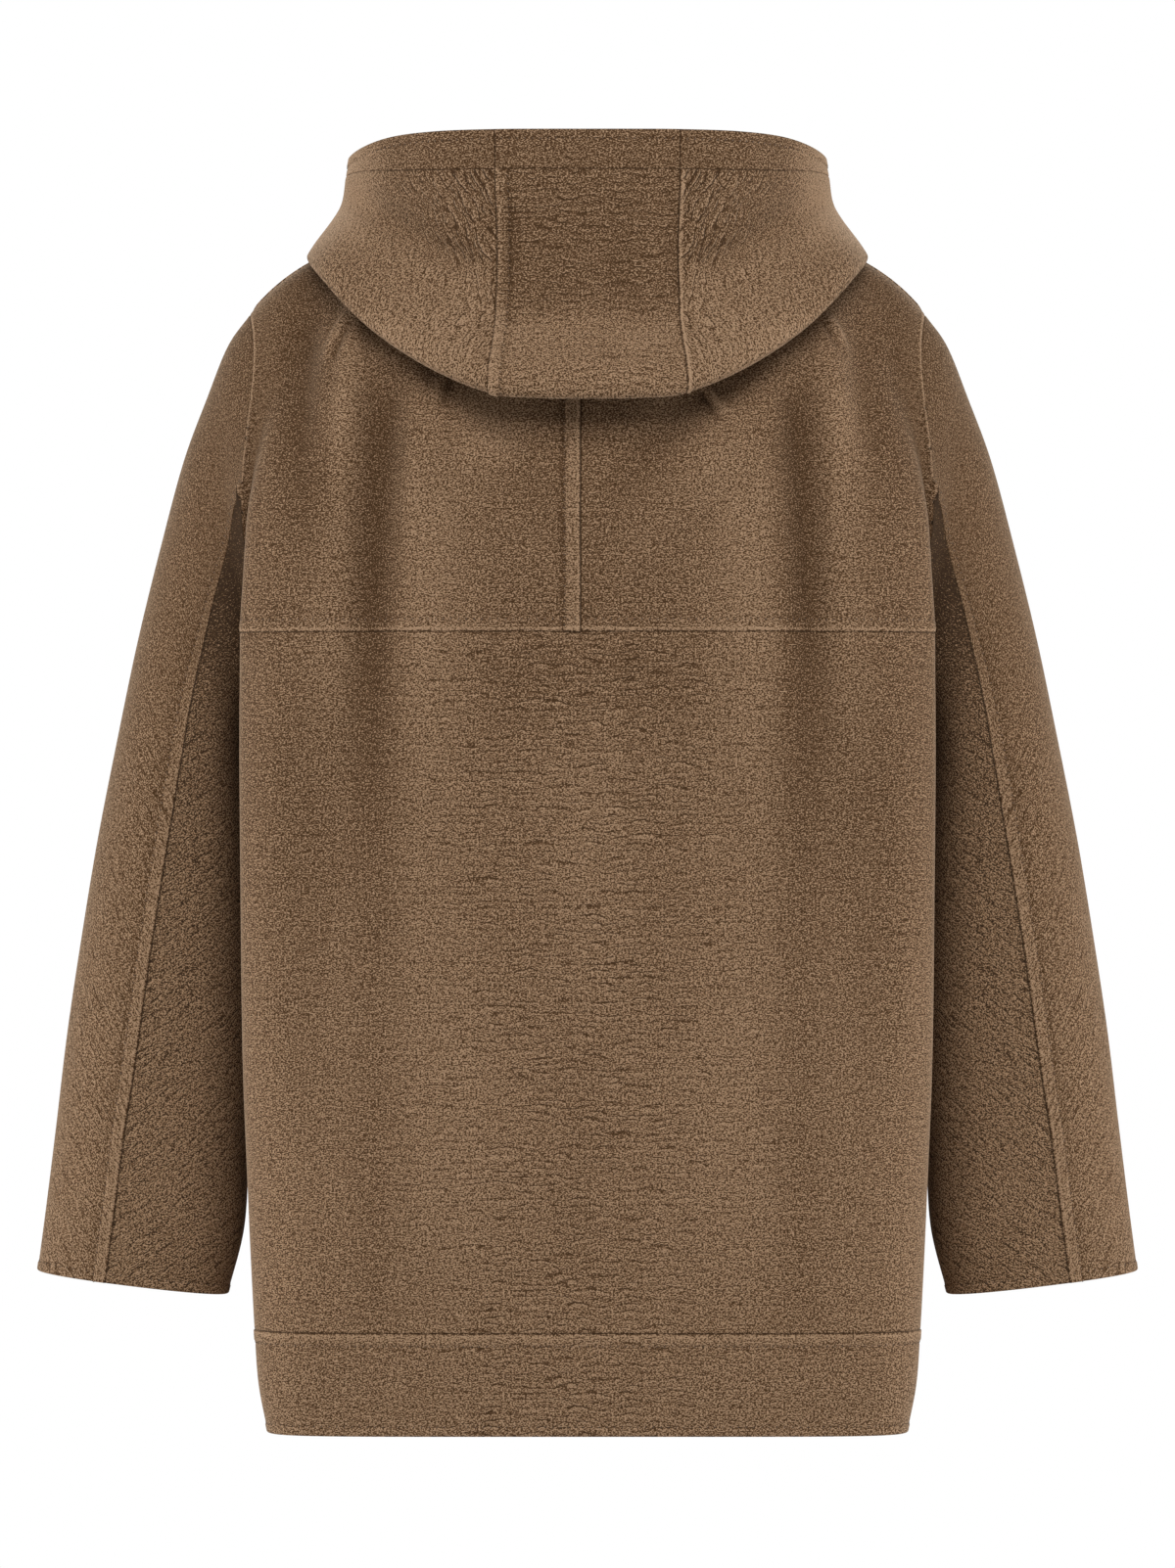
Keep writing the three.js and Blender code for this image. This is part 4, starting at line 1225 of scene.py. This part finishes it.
def noise(tree, thread, width, height, detail, roughness, distortion=0.0):
    """Noise whose grains have a width across the thread and a height along it."""
    across, along, rest = apart(tree, thread)
    place = {0: maths(tree, "DIVIDE", across, width), 1: maths(tree, "DIVIDE", along, height), 2: rest}
    vector = add_node(tree, "ShaderNodeCombineXYZ", place).outputs[0]
    values = {"Scale": 1.0, "Detail": detail, "Roughness": roughness, "Distortion": distortion}
    return add_node(tree, "ShaderNodeTexNoise", {"Vector": vector} | values).outputs["Fac"]


def around(tree, value, amount):
    """A value that swings round zero."""
    return maths(tree, "MULTIPLY", maths(tree, "SUBTRACT", value, 0.5), amount)


def between(tree, share, start, end):
    """The colour at a share of the way between two colours."""
    node = add_node(tree, "ShaderNodeMix", {0: share}, data_type="RGBA", clamp_factor=True)
    for socket, colour in zip([socket for socket in node.inputs if socket.type == "RGBA"], (start, end)):
        feed(tree, socket, colour)
    return [socket for socket in node.outputs if socket.type == "RGBA"][0]


print("patterns:", [made.__name__ for made in (noise, around, between)])

# %% Nap node group
RIPPLE_WANDER, RIPPLE_BROKEN_FROM, RIPPLE_BROKEN_GAIN = 3.0, 0.42, 7.0
VALLEY_PLACE, VALLEY_SHARP, VALLEY_PAINTED_SHADE = 0.4, 7.0, 0.8
CREST_PLACE, CREST_SHARP, CREST_PAINTED_LIGHT = 0.68, 4.5, 0.4
FIBRE_CONTRAST, CLUMP_CONTRAST, CLOUD_CONTRAST = 6.8, 1.9, 0.06
# How far a unit of painted light or shade moves the tone.
PAINTED_SHADING_GAIN, MIDDLE_TONE = 0.17, 0.502
CLOUD_SIZE, PATCH_SIZE, PATCH_GAIN = (0.05, 0.03), (0.045, 0.04), 1.6
FIBRE_HIGH, CLUMP_HIGH, RIPPLE_HIGH = 0.12, 0.22, 0.3


def nap_group():
    inputs = {"Thread": "Vector"}
    inputs |= dict.fromkeys(("Lay", "Ripple gap", "Ripple", "Fibre size", "Speckle"), "Float")
    inputs |= dict.fromkeys(("Dark", "Middle", "Light"), "Color")
    group, given, result = new_group("Nap", "ShaderNodeTree", inputs, {"Color": "Color", "Height": "Float"})
    do = lambda operation, a, b=0.0, clamp=False: maths(group, operation, a, b, clamp)
    thread, size, gap = given["Thread"], given["Fibre size"], given["Ripple gap"]
    times = lambda length, share: do("MULTIPLY", length, share)

    wander = noise(group, thread, times(gap, 5.0), times(gap, 2.0), 2.0, 0.5)
    waves = do("DIVIDE", apart(group, thread)[1], gap)
    wave = do("FRACT", do("ADD", waves, times(wander, RIPPLE_WANDER)))
    broken = noise(group, thread, times(gap, 2.5), gap, 1.0, 0.5)
    broken = do("MULTIPLY", do("SUBTRACT", broken, RIPPLE_BROKEN_FROM), RIPPLE_BROKEN_GAIN, clamp=True)
    patch = do("MULTIPLY", times(noise(group, thread, *PATCH_SIZE, 2.0, 0.5), PATCH_GAIN), broken)

    def line(place, sharpness):
        """A line along the wave: 1 at its place and falling away evenly on both sides."""
        away = times(do("ABSOLUTE", do("SUBTRACT", wave, place)), sharpness)
        return do("MULTIPLY", do("SUBTRACT", 1.0, away, clamp=True), patch)

    # The ripples are a bump, and their crests and valleys are also painted lighter and darker: painted light
    # and shade.
    crest, valley = line(CREST_PLACE, CREST_SHARP), line(VALLEY_PLACE, VALLEY_SHARP)
    ripples = do("SUBTRACT", times(crest, CREST_PAINTED_LIGHT), times(valley, VALLEY_PAINTED_SHADE))
    ripples = do("MULTIPLY", ripples, given["Ripple"])

    fibre = noise(group, thread, times(size, 1.5), size, 1.0, 0.6, 0.3)
    clump = noise(group, thread, times(size, 3.5), times(size, 2.5), 2.0, 0.6, 0.5)
    cloud = noise(group, thread, *CLOUD_SIZE, 3.0, 0.5)
    fibres = around(group, fibre, times(given["Speckle"], FIBRE_CONTRAST))
    speckle = do("ADD", fibres, around(group, clump, times(given["Speckle"], CLUMP_CONTRAST)))
    # The painted light and shade of each piece lighten or darken the tone, on top of the random cloud.
    drift = do("ADD", around(group, cloud, CLOUD_CONTRAST), times(given["Lay"], PAINTED_SHADING_GAIN))
    tone = do("ADD", do("ADD", speckle, ripples), do("ADD", drift, MIDDLE_TONE), clamp=True)
    lower = do("MULTIPLY", tone, 2.0, clamp=True)
    upper = do("SUBTRACT", times(tone, 2.0), 1.0, clamp=True)
    colour = between(group, lower, given["Dark"], given["Middle"])
    feed(group, result["Color"], between(group, upper, colour, given["Light"]))
    soft = do("ADD", times(fibre, FIBRE_HIGH), times(clump, CLUMP_HIGH))
    feed(group, result["Height"], do("ADD", soft, times(ripples, RIPPLE_HIGH)))
    return group


nap = nap_group()
print("nap group:", len(nap.nodes), "nodes")

# %% Cashmere material
# The darkest fibre of the cloth, and a darker one for the copy under the arm: painted shade of its shadow.
DARK_FIBRE, UNDERARM_SHADOW_FIBRE = (0.047, 0.0225, 0.0080, 1), (0.036, 0.0215, 0.0125, 1)
MIDDLE_FIBRE, LIGHT_FIBRE = (0.129, 0.0700, 0.0338, 1), (0.306, 0.199, 0.121, 1)
SHEEN_TINT = (1.0, 0.78, 0.56, 1)
FIBRE_SIZE, SPECKLE = 0.0008, 0.93
NAP_HIGH = 0.0014


def cashmere(name, gloss, sheen, dark):
    material = bpy.data.materials.new(name)
    material.use_nodes = True
    tree = material.node_tree
    place = add_node(tree, "ShaderNodeUVMap", uv_map="thread").outputs["UV"]
    given = {"Thread": place, "Fibre size": FIBRE_SIZE, "Speckle": SPECKLE}
    given |= {"Dark": dark, "Middle": MIDDLE_FIBRE, "Light": LIGHT_FIBRE}
    # The painted light and shade of each piece come in as an attribute.
    for socket, label in (("Lay", "painted_shading"), ("Ripple", "crumple"), ("Ripple gap", "gap")):
        given[socket] = add_node(tree, "ShaderNodeAttribute", attribute_name=label).outputs["Fac"]
    cloth = add_node(tree, "ShaderNodeGroup", given, node_tree=nap).outputs
    bump = {"Strength": 1.0, "Distance": NAP_HIGH, "Height": cloth["Height"]}
    shader = tree.nodes["Principled BSDF"]
    feed(tree, shader.inputs["Base Color"], cloth["Color"])
    feed(tree, shader.inputs["Normal"], add_node(tree, "ShaderNodeBump", bump).outputs["Normal"])
    shader.inputs["Roughness"].default_value = 0.92
    shader.inputs["Specular IOR Level"].default_value = gloss
    shader.inputs["Sheen Weight"].default_value = sheen
    shader.inputs["Sheen Roughness"].default_value = 0.35
    shader.inputs["Sheen Tint"].default_value = SHEEN_TINT
    return material


# Two shaded copies of the cashmere: less sheen on the upper sleeves; darker, hardly shining, under the arm.
brushed_cloth = cashmere("cashmere", 0.15, 0.25, DARK_FIBRE)
shaded_sleeve_cloth = cashmere("shaded copy of the cashmere for the upper sleeve", 0.12, 0.19, DARK_FIBRE)
underarm_shadow_cloth = cashmere("shaded copy of the cashmere under the arm", 0.02, 0.04, UNDERARM_SHADOW_FIBRE)
for name, piece in pieces.items():
    under_arm, upper = name.startswith("sleeve_under"), name.startswith("sleeve_upper")
    cloth = underarm_shadow_cloth if under_arm else shaded_sleeve_cloth if upper else brushed_cloth
    piece["object"].data.materials.append(cloth)
print("cloth:", [made.name for made in (brushed_cloth, shaded_sleeve_cloth, underarm_shadow_cloth)])

# %% [markdown]
# ## Felling stitches
#
# The folded edges are caught down by hand with a thread of the cloth's colour. Two thousand stitches are
# too many to model one by one, and a bump would lose their slant. A small node network lays one short
# slanted stitch at every gap along the seams, a little unevenly, and half sunk into the nap.

# %% Lines that the stitches follow
STITCH_OUTSIDE = 0.1
SEWN_WIDE = {kind: RIDGE_WIDE[kind] for kind in PAINTED_BORDER_LIGHT} | {"turned": TURNED_WIDE}


def read_at(distance, values, at):
    order = np.argsort(distance)
    return [np.interp(at, distance[order], values[order, k]) for k in range(3)]


def stitch_lines(piece):
    """For each sewn border: points on the outer face along its folded edge, and the way out of the cloth."""
    for kind, (border, distance) in zip(piece["kinds"], piece["distance"].items()):
        if kind not in SEWN_WIDE:
            continue
        grids = distance, piece["outer"], piece["normal"]
        if border in ("top", "bottom"):
            grids = [np.swapaxes(grid, 0, 1) for grid in grids]
        at = SEWN_WIDE[kind] + STITCH_OUTSIDE
        sewn = [(read_at(d, p, at), read_at(d, n, at)) for d, p, n in zip(*grids)]
        yield np.array([place for place, _ in sewn]), np.array([out for _, out in sewn])


seam_points, seam_outs, seam_edges = [], [], []
for piece in pieces.values():
    for line, out in stitch_lines(piece):
        first = len(seam_points)
        seam_points.extend((line * MM).tolist())
        seam_outs.extend(out.reshape(-1).tolist())
        seam_edges.extend((first + i, first + i + 1) for i in range(len(line) - 1))
seams = bpy.data.meshes.new("felling_stitches")
seams.from_pydata(seam_points, seam_edges, [])
seams.attributes.new("out", "FLOAT_VECTOR", "POINT").data.foreach_set("vector", seam_outs)
stitches = bpy.data.objects.new("felling_stitches", seams)
bpy.context.collection.objects.link(stitches)
print("seam lines:", len(seam_points), "points")

# %% Stitch nodes


def stitch_nodes():
    inputs = {"Seams": "Geometry", "Thread": "Material", "Seed": "Int"}
    inputs |= dict.fromkeys(("Gap", "Length", "Thickness", "Slant", "Unevenness"), "Float")
    group, given, result = new_group("Felling stitches", "GeometryNodeTree", inputs, {"Stitches": "Geometry"})

    def do(kind, inputs=None, output=0, **settings):
        return add_node(group, kind, inputs, **settings).outputs[output]

    curve = do("GeometryNodeMeshToCurve", {"Mesh": given["Seams"]})
    along = do("GeometryNodeResampleCurve", {"Curve": curve, "Length": given["Gap"]}, mode="LENGTH")
    bead = do("GeometryNodeMeshIcoSphere", {"Radius": 0.5, "Subdivisions": 1})
    out = do("GeometryNodeInputNamedAttribute", {"Name": "out"}, data_type="FLOAT_VECTOR")
    turn = "FunctionNodeAlignRotationToVector"
    lengthwise = do(turn, {"Vector": do("GeometryNodeInputTangent")}, axis="X")
    upright = do(turn, {"Rotation": lengthwise, "Vector": out}, axis="Z", pivot_axis="X")
    chance = do("FunctionNodeRandomValue", {"Seed": given["Seed"]}, 1, data_type="FLOAT")
    swing = {0: chance, 1: given["Unevenness"], 2: given["Slant"]}
    lean = do("ShaderNodeCombineXYZ", {"Z": do("ShaderNodeMath", swing, operation="MULTIPLY_ADD")})
    turned = {"Rotation": upright, "Rotate By": do("FunctionNodeEulerToRotation", {"Euler": lean})}
    turned = do("FunctionNodeRotateRotation", turned, rotation_space="LOCAL")
    size = {"X": given["Length"], "Y": given["Thickness"], "Z": given["Thickness"]}
    laid = {"Points": along, "Instance": bead, "Rotation": turned, "Scale": do("ShaderNodeCombineXYZ", size)}
    whole = do("GeometryNodeRealizeInstances", {"Geometry": do("GeometryNodeInstanceOnPoints", laid)})
    sewn = do("GeometryNodeSetMaterial", {"Geometry": whole, "Material": given["Thread"]})
    feed(group, result["Stitches"], sewn)
    return group


stitching = stitch_nodes()
print("stitch group:", len(stitching.nodes), "nodes")

# %% Sew
BEAD_FACES = 20


def plain_material(name, colour, roughness):
    material = bpy.data.materials.new(name)
    material.use_nodes = True
    shader = material.node_tree.nodes["Principled BSDF"]
    shader.inputs["Base Color"].default_value = colour
    shader.inputs["Roughness"].default_value = roughness
    return material


# The thread is a brown of the cloth, darkened as painted shade of the ditch it sinks into.
darkened_felling_thread = plain_material("felling thread darkened as painted shade", (0.055, 0.03, 0.015, 1), 0.7)
SEWING = {"Gap": 0.005, "Length": 0.0024, "Thickness": 0.0007, "Slant": 0.7, "Unevenness": 0.5}
SEWING |= {"Seed": 7, "Thread": darkened_felling_thread}
sewing = stitches.modifiers.new("sewing", "NODES")
sewing.node_group = stitching
for socket in stitching.interface.items_tree:
    if socket.in_out == "INPUT" and socket.name in SEWING:
        sewing[socket.identifier] = SEWING[socket.name]
sewn = stitches.evaluated_get(bpy.context.evaluated_depsgraph_get())
sewn_mesh = bpy.data.meshes.new_from_object(sewn)
stitches.modifiers.clear()
stitches.data = sewn_mesh
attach(stitches, "root")
print("stitches:", len(sewn_mesh.polygons) // BEAD_FACES)

# %% [markdown]
# ## Joining the frame
#
# The pieces of a coat are sewn into one, so all of them move with its one body. They could be parented by
# hand. Each cloth piece stands for its solid in the physics model, which is hidden, and rides on the body.
# Its flat size, its area and the pieces it hangs from are worked out, but nothing passes them on.

# %% Ride and replace
HANGS_FROM = {
    "back_panel": ["back_yoke_left", "back_yoke_right"],
    "back_hem_band": ["back_panel"],
    "hood_centre": ["back_yoke_left", "back_yoke_right"],
    "hood_rim_centre": ["hood_centre"],
}
for side in ("left", "right"):
    HANGS_FROM |= {
        f"front_hem_band_{side}": [f"front_{side}"],
        f"sleeve_upper_{side}": [f"back_yoke_{side}", f"front_{side}"],
        f"sleeve_under_{side}": [f"sleeve_upper_{side}"],
        f"hood_side_{side}": [f"back_yoke_{side}", f"front_{side}"],
        f"hood_rim_{side}": [f"hood_side_{side}"],
    }
for name, piece in pieces.items():
    cloth = piece["object"]
    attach(cloth, "root")
    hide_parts(name)
    width, length = piece["flat"]
    area = min(piece["area"], width * length)
    rests = [f"cloth_{other}" for other in HANGS_FROM.get(name, [])]
whole_area = sum(piece["area"] for piece in pieces.values())
print("declared", len(pieces), "sheets, in all", round(whole_area, 3), "square metres")

# %% [markdown]
# ## Room, light and camera
#
# The coat hangs clear of a pale floor in an even white room. One bright lamp would cut the nap into hard
# light and shade, so six large soft lights stand round the coat: one above and behind the camera, a low
# and a taller one to each side, and one over the front. Troughs stay darker than ridges, helped by the
# shade painted on the folds, and the nap shines at the outline.

# %% Floor and room
FLOOR_Z = -1.6
ROOM_STRENGTH = 0.2
WHITE = (1, 1, 1, 1)
bpy.ops.mesh.primitive_plane_add(size=12, location=(0, 0, FLOOR_Z))
floor = bpy.context.object
floor.name = "floor"
floor.data.materials.append(plain_material("pale floor", (0.82, 0.82, 0.81, 1), 0.8))

world = bpy.data.worlds.new("white room")
bpy.context.scene.world = world
world.use_nodes = True
air = world.node_tree
background = air.nodes["Background"]
background.inputs["Color"].default_value = WHITE
background.inputs["Strength"].default_value = ROOM_STRENGTH
seen = add_node(air, "ShaderNodeBackground", {"Strength": 1.0, "Color": WHITE}).outputs[0]
straight = add_node(air, "ShaderNodeLightPath").outputs["Is Camera Ray"]
choose = add_node(air, "ShaderNodeMixShader")
for socket, value in zip(choose.inputs, (straight, background.outputs[0], seen)):
    feed(air, socket, value)
feed(air, air.nodes["World Output"].inputs[0], choose.outputs[0])
print("floor", -FLOOR_Z, "m below the neck")

# %% Lights
AIM = Vector((0, 0, -0.35))
LIGHTS = {
    "low light left": [(2.9, -0.6, -1.0), (0.8, 1.4), 46],
    "low light right": [(-2.9, -0.6, -1.0), (0.8, 1.4), 46],
    "side light left": [(3.0, 0.7, -0.2), (0.8, 1.8), 26],
    "side light right": [(-3.0, 0.7, -0.2), (0.8, 1.8), 26],
    "light in front of the coat": [(0, -2.4, 1.6), (2.6, 0.8), 40],
    "key light": [(0, 3.2, 2.0), (3.2, 2.4), 152],
}
for name, (place, size, power) in LIGHTS.items():
    lamp = bpy.data.lights.new(name, "AREA")
    lamp.shape, lamp.energy = "RECTANGLE", power
    lamp.size, lamp.size_y = size
    holder = bpy.data.objects.new(name, lamp)
    bpy.context.collection.objects.link(holder)
    holder.location = place
    holder.rotation_euler = (AIM - Vector(place)).to_track_quat("-Z", "Y").to_euler()
print("lights:", ", ".join(LIGHTS))

# %% Camera
CAMERA_AWAY = 5.0
CAMERA_Z = -0.387
VIEW_HIGH = 1.0413
SENSOR = 36
camera = bpy.data.objects.new("camera", bpy.data.cameras.new("camera"))
bpy.context.collection.objects.link(camera)
camera.location = (0, CAMERA_AWAY, CAMERA_Z)
camera.rotation_euler = (math.radians(90), 0, math.radians(180))
camera.data.sensor_width = SENSOR
camera.data.lens = SENSOR * CAMERA_AWAY / VIEW_HIGH
bpy.context.scene.camera = camera
bpy.context.scene.view_settings.view_transform = "Standard"
print("camera lens", round(camera.data.lens, 1), "mm")
